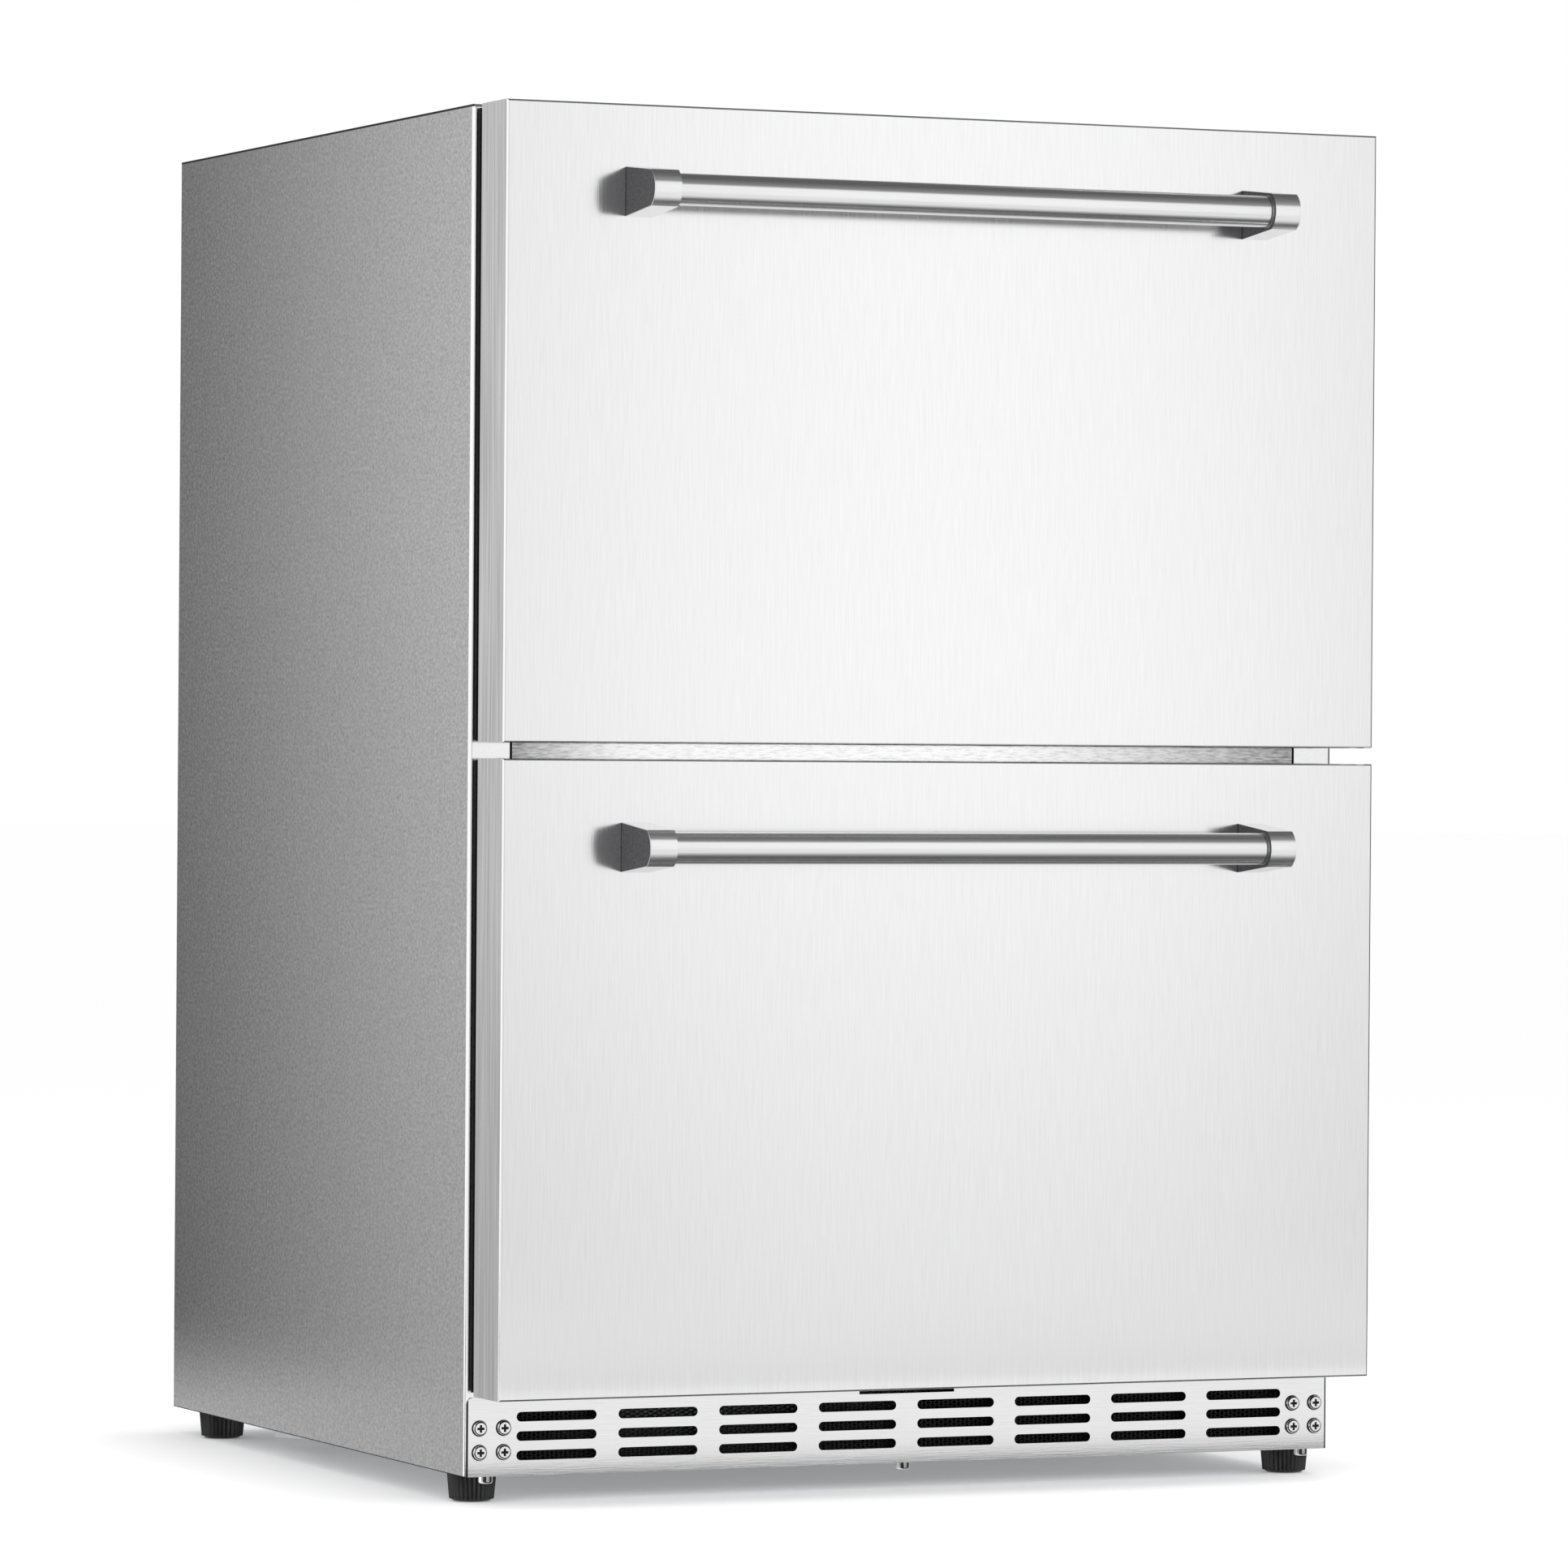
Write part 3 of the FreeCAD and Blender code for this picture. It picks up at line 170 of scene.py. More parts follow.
class Shader:
    """A node tree with one way to add a node and the few patterns the finishes share."""

    def __init__(self, tree):
        self.tree = tree
        tree.nodes.clear()

    def node(self, kind, settings=None, inputs=None, output=0):
        made = self.tree.nodes.new(kind)
        for key, value in (settings or {}).items():
            setattr(made, key, value)
        for key, value in (inputs or {}).items():
            if isinstance(value, Wire):
                self.tree.links.new(value.socket, made.inputs[key])
            else:
                made.inputs[key].default_value = value
        return Wire(self, made.outputs[output]) if len(made.outputs) else made

    def place(self, scale=(1, 1, 1), shift=(0, 0, 0)):
        where = self.node("ShaderNodeTexCoord", output="Object")
        return self.node("ShaderNodeMapping", {"vector_type": "POINT"},
                         {"Vector": where, "Location": shift, "Scale": scale})

    def axes(self, vector):
        return [self.node("ShaderNodeSeparateXYZ", None, {0: vector}, i) for i in range(3)]

    def xyz(self, shift=(0, 0, 0)):
        return self.axes(self.place(shift=shift))

    def noise(self, scale, detail=2.0, roughness=0.5, stretch=(1, 1, 1)):
        return self.node("ShaderNodeTexNoise", None, {"Vector": self.place(stretch), "Scale": scale,
                                                      "Detail": detail, "Roughness": roughness}, "Fac")

    def cells(self, scale, output="Distance"):
        return self.node("ShaderNodeTexVoronoi", None, {"Vector": self.place(), "Scale": scale}, output)

    def mix(self, factor, first, second):
        settings = {"data_type": "RGBA", "clamp_factor": True}
        sockets = {0: factor}
        for place, colour in ((6, first), (7, second)):
            sockets[place] = colour if isinstance(colour, Wire) else (*colour, 1.0)
        return self.node("ShaderNodeMix", settings, sockets, 2)

    def vary(self, factor, colour, low, high):
        """From low times the colour to high times the colour."""
        return self.mix(factor, shade(colour, low), shade(colour, high))

    def grey(self, value):
        return self.node("ShaderNodeCombineColor", None, {0: value, 1: value, 2: value})

    def step(self, value, low, high):
        return self.node("ShaderNodeMapRange", {"interpolation_type": "SMOOTHSTEP"},
                         {0: value, 1: low, 2: high, 3: 0.0, 4: 1.0})

    def bump(self, height, depth):
        return self.node("ShaderNodeBump", None, {"Height": height, "Distance": depth, "Strength": 1.0})

    def surface(self, shader):
        self.node("ShaderNodeOutputMaterial", None, {"Surface": shader})


class Finish(Shader):
    """A named material; done() ends it with one Principled shader."""

    def __init__(self, name):
        self.material = bpy.data.materials.new(name)
        self.material.use_nodes = True
        super().__init__(self.material.node_tree)

    def done(self, colour, roughness, metallic, normal, **sockets):
        values = {"Base Color": colour, "Roughness": roughness, "Metallic": metallic, "Normal": normal}
        values.update({key.replace("_", " "): value for key, value in sockets.items()})
        self.surface(self.node("ShaderNodeBsdfPrincipled", None, values))
        return self.material


def shade(colour, factor):
    return tuple(min(1.0, channel * factor) for channel in colour)


def grain(finish, along, width, run):
    """Brushing: noise drawn out along one axis, 0.5 in the mean."""
    stretch = [1 / width] * 3
    stretch[along] = 1 / run
    return finish.noise(1.0, 2.5, 0.6, stretch)


def facing(finish, axis):
    """How squarely a surface faces along an axis, from -1 to 1."""
    return finish.axes(finish.node("ShaderNodeNewGeometry", output="True Normal"))[axis]


def fold_lines(finish, colours):
    """Painted highlight and painted shade along the folds at the front: bright where the sheet turns to the
    left, dark where it turns to the right. Sideways facing times backward facing is positive on the first and
    negative on the second."""
    back = facing(finish, BACKWARD)
    turned = facing(finish, SIDEWAYS) * back * back.between(0.0, -0.1)
    # Painted highlight on folds that turn left, painted shade on folds that turn right
    colours = finish.mix(turned.between(0.08, 0.25), colours, (0.98, 0.98, 0.98))
    return finish.mix(turned.between(-0.1, -0.25), colours, (0.06, 0.06, 0.06))


def brushed_steel(name, colour, along, width, run, gloss, contrast, depth=FINE_RELIEF, fold_contrast=None,
                  reach=None):
    """Satin steel: the brushing shifts colour and gloss a little and stands up as a shallow relief. Sheets that
    are folded to face sideways may show broad streaks there and a painted highlight and painted shade along the
    folds, and a sheet that ends at reach on either side may have a black line of painted shade down both ends."""
    finish = Finish(name)
    lines = grain(finish, along, width, run)
    cloud = finish.noise(3.0)
    colours = finish.vary(lines, colour, 1 - contrast, 1 + contrast)
    if fold_contrast is not None:
        streaks = grain(finish, along, width * 3, run * 5).between(0.3, 0.7)
        folded = finish.vary(streaks, colour, 1 - fold_contrast, 1 + fold_contrast)
        colours = finish.mix(abs(facing(finish, SIDEWAYS)).between(0.6, 0.9), colours, folded)
        # Painted highlight and painted shade along the folds
        colours = fold_lines(finish, colours)
    if reach is not None:
        x = finish.xyz()[SIDEWAYS]
        # A black line of painted shade down both ends of the sheet, where the gap beside it lies in shade
        colours = finish.mix(abs(x).within(reach, GRILLE_END_SHADE), colours, SHADE_LINE_BLACK)
    roughness = gloss + (lines - 0.5) * 0.08 + (cloud - 0.5) * 0.03
    return finish.done(colours, roughness, 1.0, finish.bump(lines, depth))


def side_steel(name, colour, width, run, half, foot, top):
    """Side and top sheet: short strokes with long fine hairs over them, and glossier flanges at the front that
    a painted highlight makes brighter, with painted highlight and shade along the folds. Each side stands half
    the width out and has painted shade as a dark line along its top edge and a thin dark line along its foot."""
    finish = Finish(name)
    strokes = grain(finish, UPWARD, width * 2.8, run * 0.07)
    hairs = grain(finish, UPWARD, width * 0.6, run)
    lines = strokes * 0.75 + hairs * 0.25
    cloud = finish.noise(3.0)
    flange_highlight = facing(finish, BACKWARD).between(-0.5, -0.9)
    x, _, z = finish.xyz()
    # Painted shade: a dark line along the top edge and a thin one along the foot
    edge_shade = z.within(top, TOP_EDGE_SHADE).larger(z.within(foot, FOOT_EDGE_SHADE)) * abs(x).within(half, SIDE_SKIN)
    colours = finish.mix(lines.between(0.25, 0.75), shade(colour, 0.5), WHITE)
    # Painted highlight: flanges that face the front get a brighter colour
    colours = finish.mix(flange_highlight, colours, finish.mix(lines, colour, WHITE))
    colours = finish.mix(edge_shade, fold_lines(finish, colours), SHADE_LINE_BLACK)
    roughness = 0.2 - flange_highlight * 0.1 + edge_shade * 0.3 + (lines - 0.5) * 0.08 + (cloud - 0.5) * 0.03
    return finish.done(colours, roughness, 1.0, finish.bump(lines, FINE_RELIEF))


def satin_bin(name, colour, width, run):
    """Blasted and brushed bin steel: half dull, so that the bin stays light inside."""
    finish = Finish(name)
    lines = grain(finish, SIDEWAYS, width, run)
    cloud = finish.noise(6.0, 3.0)
    colours = finish.vary(lines * 0.6 + cloud * 0.4, colour, 0.88, 1.12)
    roughness = 0.4 + (lines - 0.5) * 0.2 + (cloud - 0.5) * 0.1
    return finish.done(colours, roughness, 0.6, finish.bump(lines, FINE_RELIEF))


def capped_steel(name, colour, cap_colour, width, run, base_y):
    """Handle post: a brushed strap round the nose, dark sand-blasted flanks where the surface faces sideways,
    and a black line of painted shade where a flank meets the drawer front at base_y."""
    finish = Finish(name)
    lines = grain(finish, SIDEWAYS, width, run)
    # Painted shade: a black line where a flank meets the drawer front
    joint_shade = finish.xyz()[BACKWARD].within(base_y, POST_JOINT_SHADE)
    flank = abs(facing(finish, SIDEWAYS)).between(0.9, 0.97)
    pits = finish.noise(800.0, 2.0, 0.7)
    strap = finish.vary(lines, colour, 0.92, 1.16)
    blast = finish.vary(pits.between(0.3, 0.7), cap_colour, 0.4, 1.6)
    blast = finish.mix(joint_shade, blast, shade(cap_colour, 0.05))
    roughness = (0.22 + (lines - 0.5) * 0.2) * (1 - flank) + (0.5 + pits * 0.16) * flank
    relief = finish.bump(lines * (1 - flank) * 0.2 + pits * flank, 6.0e-5)
    return finish.done(finish.mix(flank, strap, blast), roughness, 1 - flank * 0.65, relief)


def rail_steel(name, colour, width, run, reach):
    """Mullion steel: strong brushing along the bar, whose ends are duller and darkened by painted shade, the
    right one over a longer stretch; reach is half the bar's length."""
    finish = Finish(name)
    lines = grain(finish, SIDEWAYS, width, run)
    x = finish.xyz()[SIDEWAYS]
    # Painted shade: both ends of the bar darker and duller, the right one over a longer stretch
    wear_and_end_shade = x.between(-0.7 * reach, -reach).larger(x.between(0.2 * reach, reach)) ** 1.3
    bright = finish.vary(lines.between(0.2, 0.55), colour, 0.72, 1.1)
    dull = finish.vary(lines.between(0.3, 0.7), colour, 0.22, 0.7)
    roughness = 0.11 + wear_and_end_shade * 0.08 + (lines - 0.5) * 0.08
    return finish.done(finish.mix(wear_and_end_shade, bright, dull), roughness, 1.0, finish.bump(lines, FINE_RELIEF))


def galvanised(name, colour, foot):
    """Zinc spangle: flat crystals of slightly different grey and gloss, with faint dull bloom. What hangs below
    the foot of the sides is dipped in white paint."""
    finish = Finish(name)
    crystal = finish.node("ShaderNodeSeparateColor", None, {0: finish.cells(120.0, "Color")})
    bloom = finish.noise(14.0, 4.0)
    tone = crystal * 0.6 + bloom * 0.4
    dipped = finish.xyz()[UPWARD] < foot
    colours = finish.mix(dipped, finish.vary(tone, colour, 0.78, 1.18), (0.95, 0.95, 0.95))
    return finish.done(colours, 0.34 + tone * 0.22, 0.9 - dipped * 0.9, finish.bump(crystal, FINE_RELIEF))


def plated(name, colour, along, width, run, gloss):
    """Bright plating with drawing lines along the piece and a few duller patches."""
    finish = Finish(name)
    lines = grain(finish, along, width, run)
    patch = finish.noise(45.0, 4.0, 0.65)
    colours = finish.vary(patch, colour, 0.84, 1.12)
    return finish.done(colours, gloss + lines * 0.12 + patch * 0.08, 1.0, finish.bump(lines, 1.2e-5))


def recessed_plate(name, colour, face_y):
    """Bright screw plating with painted shade wherever walls stand close round a spot, as in a cross recess,
    and on floors just behind the heads' flats at face_y, and a dark painted reflection in a ring where the
    rounded rim begins to turn away from the flat."""
    finish = Finish(name)
    patch = finish.noise(300.0, 3.0, 0.6)
    # Painted shade from occlusion in the recesses
    openness = finish.node("ShaderNodeAmbientOcclusion", {"only_local": True, "samples": 8},
                           {"Distance": RECESS_REACH}, "AO")
    back = facing(finish, BACKWARD)
    # Painted dark reflection on the rim ring and painted shade on the recess floors
    ring = abs(back).between(0.72, 0.8) * abs(back).between(0.99, 0.96)
    y = finish.xyz()[BACKWARD]
    floor = back.between(-0.9, -0.95) * y.within(face_y, RECESS_FLOOR_SHADE) * (y < face_y + RECESS_END)
    unshaded = openness.between(0.45, 0.8) * (1 - ring) * (1 - floor)
    # Shaded places are near black and not metallic
    colours = finish.mix(unshaded, (0.012, 0.012, 0.012), finish.vary(patch, colour, 0.86, 1.1))
    return finish.done(colours, 0.55 - unshaded * 0.4 + patch * 0.08, unshaded, finish.bump(patch, 1.0e-5))


def moulded(name, colour, grit, depth, gloss, wear=0.25):
    """Moulded plastic: a leathery orange peel, fine grit and slightly uneven colour."""
    finish = Finish(name)
    peel = finish.noise(grit, 3.0, 0.6)
    specks = finish.noise(grit * 4.5, 2.0)
    cloud = finish.noise(9.0, 3.0)
    colours = finish.vary(cloud * 0.6 + specks * 0.4, colour, 1 - wear, 1 + wear)
    roughness = gloss + (specks - 0.5) * 0.2 + (cloud - 0.5) * 0.1
    return finish.done(colours, roughness, 0.0, finish.bump(peel * 0.7 + specks * 0.3, depth))


def painted(name, colour, gloss):
    """Stoved paint over sheet: orange peel, faint dust and thin worn places."""
    finish = Finish(name)
    peel = finish.noise(340.0, 2.0)
    dust = finish.noise(26.0, 5.0, 0.7)
    wear_and_end_shade = finish.step(finish.noise(60.0, 6.0, 0.75), 0.66, 0.74)
    colours = finish.mix(wear_and_end_shade * 0.5, finish.vary(dust, colour, 0.8, 1.3), (0.3, 0.3, 0.31))
    return finish.done(colours, gloss + dust * 0.2 - wear_and_end_shade * 0.08, wear_and_end_shade * 0.6, finish.bump(peel, 5.0e-5))


def rigid_foam(name, colour):
    """Rigid foam: round closed cells in two sizes, darker in their middles."""
    finish = Finish(name)
    tone = finish.cells(900.0) * 0.5 + finish.cells(260.0) * 0.5
    return finish.done(finish.vary(tone, colour, 0.72, 1.06), 0.85 + tone * 0.1, 0.0,
                       finish.bump(tone, 3.0e-4))


def rubber(name, colour):
    """Extruded rubber: fine pores and faint bloom."""
    finish = Finish(name)
    pores = finish.noise(1600.0, 2.0)
    bloom = finish.noise(32.0, 4.0, 0.6)
    return finish.done(finish.vary(bloom, colour, 0.7, 1.6), 0.6 + pores * 0.2, 0.0,
                       finish.bump(pores, 6.0e-5), Specular_IOR_Level=0.25)


def finned(name, colour):
    """Fin stock: rolled lines along the sheet, dull grey film and slightly uneven brightness."""
    finish = Finish(name)
    rolled = finish.noise(1.0, 3.0, stretch=(900, 900, 40))
    film = finish.noise(22.0, 5.0, 0.65)
    return finish.done(finish.vary(film * 0.7 + rolled * 0.3, colour, 0.7, 1.12), 0.3 + film * 0.25, 0.95,
                       finish.bump(rolled, 3.0e-5))


def copper(name, colour):
    """Drawn copper: bright with brown tarnish in clouds and a fine relief."""
    finish = Finish(name)
    tarnish = finish.step(finish.noise(38.0, 5.0, 0.7), 0.4, 0.68)
    relief = finish.noise(1.0, 2.0, stretch=(700, 700, 700))
    colours = finish.mix(tarnish, shade(colour, 1.12), (0.24, 0.115, 0.07))
    return finish.done(colours, 0.22 + tarnish * 0.3, 1.0, finish.bump(relief, 1.5e-5))


def lit_lens(name, colour):
    """Diffuser over a row of lamps: soft bright spots at an even pitch along the strip, with ribs across."""
    finish = Finish(name)
    x = finish.xyz()[SIDEWAYS]
    spot = 1 - finish.step(x.repeat(LAMP_PITCH), 0.0, LAMP_PITCH * 0.42)
    ribs = x.maths("SINE", x * (2 * math.pi / RIB_PITCH))
    return finish.done(finish.vary(spot, colour, 0.9, 1.0), 0.32 + spot * 0.1, 0.0, finish.bump(ribs, 4.0e-5),
                       Emission_Color=finish.vary(spot, colour, 0.72, 1.0), Emission_Strength=0.7)


def smoked_glass(name, colour, lamp_colour, lamp_place):
    """Dark glossy window with a faint haze and one small round lamp glowing behind it."""
    finish = Finish(name)
    haze = finish.noise(30.0, 4.0)
    x, _, z = finish.xyz([-part for part in lamp_place])
    lamp = 1 - finish.step((x * x + z * z) ** 0.5, LAMP_CORE, LAMP_EDGE)
    return finish.done(finish.vary(haze, colour, 0.8, 1.5), 0.07 + haze * 0.08, 0.0,
                       finish.bump(haze, FINE_RELIEF), Coat_Weight=0.4,
                       Emission_Color=finish.mix(lamp, (0, 0, 0), lamp_colour), Emission_Strength=1.0)


# Surfaces

def grid_faces(rows, columns, close_rows=False, close_columns=False):
    """Quads of a grid of points; a closed direction joins its last line to its first."""
    i, j = np.meshgrid(np.arange(rows if close_rows else rows - 1),
                       np.arange(columns if close_columns else columns - 1), indexing="ij")
    down = (i + 1) % rows
    right = (j + 1) % columns
    return np.stack([i * columns + j, i * columns + right, down * columns + right, down * columns + j],
                    -1).reshape(-1, 4)


def new_object(name, points, faces, material):
    """Links a mesh at the origin from an array of points and a list of faces."""
    mesh = bpy.data.meshes.new(name)
    mesh.from_pydata(np.asarray(points, float).reshape(-1, 3).tolist(), [], faces)
    mesh.materials.append(material)
    made = bpy.data.objects.new(name, mesh)
    bpy.context.scene.collection.objects.link(made)
    return made


def new_piece(name, points, faces, material, body, smooth=True):
    """A new visible piece that rides on a body."""
    piece = new_object(name, points, faces, material)
    piece.data.polygons.foreach_set("use_smooth", np.full(len(piece.data.polygons), smooth))
    piece.data.update()
    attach(piece, body)
    return piece


def dress(material, *names):
    for name in names:
        slots = NODES[name].data.materials
        slots.clear()
        slots.append(material)


def both(pattern):
    return [pattern.format(level) for level in LEVELS]


# Settings a user would change

class SteelSettings(bpy.types.PropertyGroup):
    """Colours and brushing of the outer steel."""
    front: tint("Front colour", "Steel of the drawer fronts and the kick grille", (0.9, 0.9, 0.902))
    side: tint("Side colour", "Steel of the side and top panels", (0.88, 0.88, 0.884))
    handle: tint("Handle colour", "Steel of bars and posts", (0.86, 0.86, 0.864))
    flank: tint("Post flank colour", "Blasted sides of the handle posts", (0.1, 0.1, 0.105))
    bin: tint("Bin colour", "Steel of the drawer bins", (0.76, 0.765, 0.775))
    grain_width: length("Grain width", "Width of one brushing line", 0.001)
    grain_run: length("Grain run", "Length of one brushing line", 0.03)


class PlasticSettings(bpy.types.PropertyGroup):
    """Colours of moulded and rubber pieces."""
    liner: tint("Liner colour", "Inside of the cabinet and of the fronts", (0.82, 0.83, 0.84))
    core: tint("Core colour", "Hidden mouldings", (0.62, 0.63, 0.64))
    black: tint("Black plastic", "Feet, controls and inlet", (0.022, 0.022, 0.024))
    rubber: tint("Rubber colour", "Gaskets, seams, washers and grommets", (0.01, 0.01, 0.0105))
    button: tint("Button colour", "The three push buttons", (0.5, 0.51, 0.52))


class ScreenSettings(bpy.types.PropertyGroup):
    """Sizes of the expanded metal screen behind the grille."""
    diamond: length("Diamond length", "Long way of one opening", 0.006)
    rise: length("Strand spacing", "Height from strand to strand", 0.0014)
    strand: length("Strand width", "Width of one strand", 0.0009)
    colour: tint("Screen colour", "Paint of the screen", (0.006, 0.006, 0.007))


class StageSettings(bpy.types.PropertyGroup):
    """Floor, light and camera."""
    floor: tint("Floor colour", "Plain floor", (0.93, 0.93, 0.93))
    ambient: amount("Room light", "Even light from all round on matt surfaces", 0.88)
    card: amount("Side card", "Brightness of the cards that the sides reflect", 0.63)
    canopy: amount("Canopy", "Brightness of the card overhead that tops reflect", 0.12)
    low_card: amount("Low card", "Brightness of the card on the floor ahead that fronts reflect", 0.75)
    lens: FloatProperty(name="Lens", description="Focal length on a 36 mm sensor", default=176.5, unit="CAMERA")
    yaw: angle("Yaw", "Camera turned to the right", 23.7697)
    pitch: angle("Pitch", "Camera tilted up", -0.2719)
    roll: angle("Roll", "Camera rolled", 0.3996)


# Operators, one for each group of like pieces

class OuterPanels(bpy.types.Operator):
    """Brushes the side and top panels, fronts, mullion and kick grille."""
    bl_idname = "fridge.outer_panels"
    bl_label = "Outer panels"

    def execute(self, context):
        steel = context.scene.fridge_steel
        width, run = steel.grain_width, steel.grain_run
        low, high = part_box("right_side_panel")
        side = side_steel("side_brushed_steel", steel.side, width, run, half=high.x, foot=low.z, top=high.z)
        front = brushed_steel("front_brushed_steel", steel.front, UPWARD, width, run, gloss=0.15, contrast=0.07,
                              fold_contrast=0.28)
        rail = rail_steel("rail_brushed_steel", steel.front, width * 1.2, run * 0.25,
                          reach=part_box("cross_rails")[1].x)
        grille = brushed_steel("grille_brushed_steel", steel.front, SIDEWAYS, width * 0.8, run * 0.8,
                               gloss=0.16, contrast=0.1, reach=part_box("kick_grille")[1].x)
        dress(side, "left_side_panel", "right_side_panel", "top_panel")
        dress(front, *both("{}_front_skin"))
        dress(rail, "cross_rails")
        dress(grille, "kick_grille")
        return {"FINISHED"}


class Handles(bpy.types.Operator):
    """Finishes the bars and their capped posts."""
    bl_idname = "fridge.handles"
    bl_label = "Handles"

    def execute(self, context):
        steel = context.scene.fridge_steel
        bar = brushed_steel("bar_satin_steel", steel.handle, SIDEWAYS, width=0.0004, run=0.03, gloss=0.2,
                            contrast=0.06, depth=8.0e-6)
        post = capped_steel("post_capped_steel", steel.handle, steel.flank, width=0.0006, run=0.02,
                            base_y=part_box("upper_handle_posts")[1].y)
        dress(bar, *both("{}_handle_bar"))
        dress(post, *both("{}_handle_posts"))
        return {"FINISHED"}


class HiddenSheets(bpy.types.Operator):
    """Gives the back, base, covers and brackets their zinc spangle, and the insulation its cells."""
    bl_idname = "fridge.hidden_sheets"
    bl_label = "Back, base and insulation"

    def execute(self, context):
        plastic = context.scene.fridge_plastic
        zinc = galvanised("zinc_spangle", (0.6, 0.62, 0.64), foot=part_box("left_side_panel")[0].z)
        foam = rigid_foam("insulation_cells", (0.86, 0.74, 0.46))
        core = moulded("core_moulding", plastic.core, grit=240.0, depth=1.2e-4, gloss=0.55, wear=0.1)
        dress(zinc, "back_panel", "base_pan", "machine_divider", "corner_brackets", "rear_cover", "fan_shroud")
        dress(foam, "cabinet_insulation", *both("{}_front_foam"))
        dress(core, "mullion_core")
        return {"FINISHED"}


class Liners(bpy.types.Operator):
    """Finishes the moulded liners, the evaporator cover and the light strips."""
    bl_idname = "fridge.liners"
    bl_label = "Liners and lights"

    def execute(self, context):
        plastic = context.scene.fridge_plastic
        inside = moulded("liner_orange_peel", plastic.liner, grit=260.0, depth=1.0e-4, gloss=0.36, wear=0.05)
        dress(inside, "inner_liner", "evaporator_cover", *both("{}_front_liner"))
        dress(lit_lens("light_diffuser", (1.0, 0.98, 0.93)), "light_strips")
        return {"FINISHED"}


class Drawers(bpy.types.Operator):
    """Finishes bins, rails and screws."""
    bl_idname = "fridge.drawers"
    bl_label = "Bins, rails and screws"

    def execute(self, context):
        steel = context.scene.fridge_steel
        satin = satin_bin("bin_satin_steel", steel.bin, width=0.0007, run=0.05)
        zinc = plated("rail_zinc_plate", (0.66, 0.68, 0.7), BACKWARD, width=0.0005, run=0.06, gloss=0.22)
        nickel = recessed_plate("screw_nickel_plate", (0.98, 0.98, 0.97), face_y=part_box("panel_screws")[0].y)
        dress(satin, *both("{}_bin"))
        dress(zinc, *both("{}_drawer_rails"), *both("{}_middle_rails"), *both("{}_cabinet_rails"))
        dress(nickel, "panel_screws", *both("{}_drawer_screws"))
        return {"FINISHED"}


class Machine(bpy.types.Operator):
    """Finishes compressor, coils, fans, lines, drain pan and inlet."""
    bl_idname = "fridge.machine"
    bl_label = "Machine compartment"

    def execute(self, context):
        plastic = context.scene.fridge_plastic
        black_paint = painted("compressor_black", (0.02, 0.02, 0.022), gloss=0.26)
        grey_paint = painted("motor_grey", (0.16, 0.16, 0.17), gloss=0.35)
        fan = moulded("fan_black", (0.05, 0.05, 0.055), grit=420.0, depth=8.0e-5, gloss=0.45)
        drain = moulded("drain_grey", (0.1, 0.1, 0.105), grit=300.0, depth=1.2e-4, gloss=0.5)
        inlet = moulded("inlet_black", plastic.black, grit=700.0, depth=8.0e-5, gloss=0.5)
        dress(black_paint, "compressor")
        dress(grey_paint, "condenser_fan_motor", "evaporator_fan_motor")
        dress(fan, "condenser_fan_blade", "evaporator_fan_blade")
        dress(drain, "drain_pan")
        dress(inlet, "power_inlet")
        dress(rubber("grommet_rubber", plastic.rubber), "compressor_grommets")
        dress(finned("fin_stock", (0.74, 0.75, 0.76)), "condenser", "evaporator")
        dress(copper("line_copper", (0.8, 0.46, 0.31)), "refrigerant_lines")
        return {"FINISHED"}


class Controls(bpy.types.Operator):
    """Finishes the control housing, its window with a lamp a fifth of the way along, and the buttons."""
    bl_idname = "fridge.controls"
    bl_label = "Controls"

    def execute(self, context):
        plastic = context.scene.fridge_plastic
        low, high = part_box("control_display")
        lamp = Vector((low.x + (high.x - low.x) * 0.2, low.y, (low.z + high.z) / 2))
        housing = moulded("housing_black", plastic.black, grit=620.0, depth=8.0e-5, gloss=0.4)
        window = smoked_glass("display_window", (0.012, 0.012, 0.014), (0.1, 0.9, 0.25), lamp)
        button = moulded("button_grey", plastic.button, grit=900.0, depth=4.0e-5, gloss=0.4, wear=0.08)
        dress(housing, "control_housing")
        dress(window, "control_display")
        dress(button, "power_button", "cooler_button", "warmer_button")
        return {"FINISHED"}


class Feet(bpy.types.Operator):
    """Finishes the fluted levelling feet."""
    bl_idname = "fridge.feet"
    bl_label = "Levelling feet"

    def execute(self, context):
        colour = shade(context.scene.fridge_plastic.black, 0.4)
        black = moulded("foot_black", colour, grit=800.0, depth=6.0e-5, gloss=0.3, wear=0.3)
        dress(black, "front_left_foot", "front_right_foot", "rear_left_foot", "rear_right_foot")
        return {"FINISHED"}


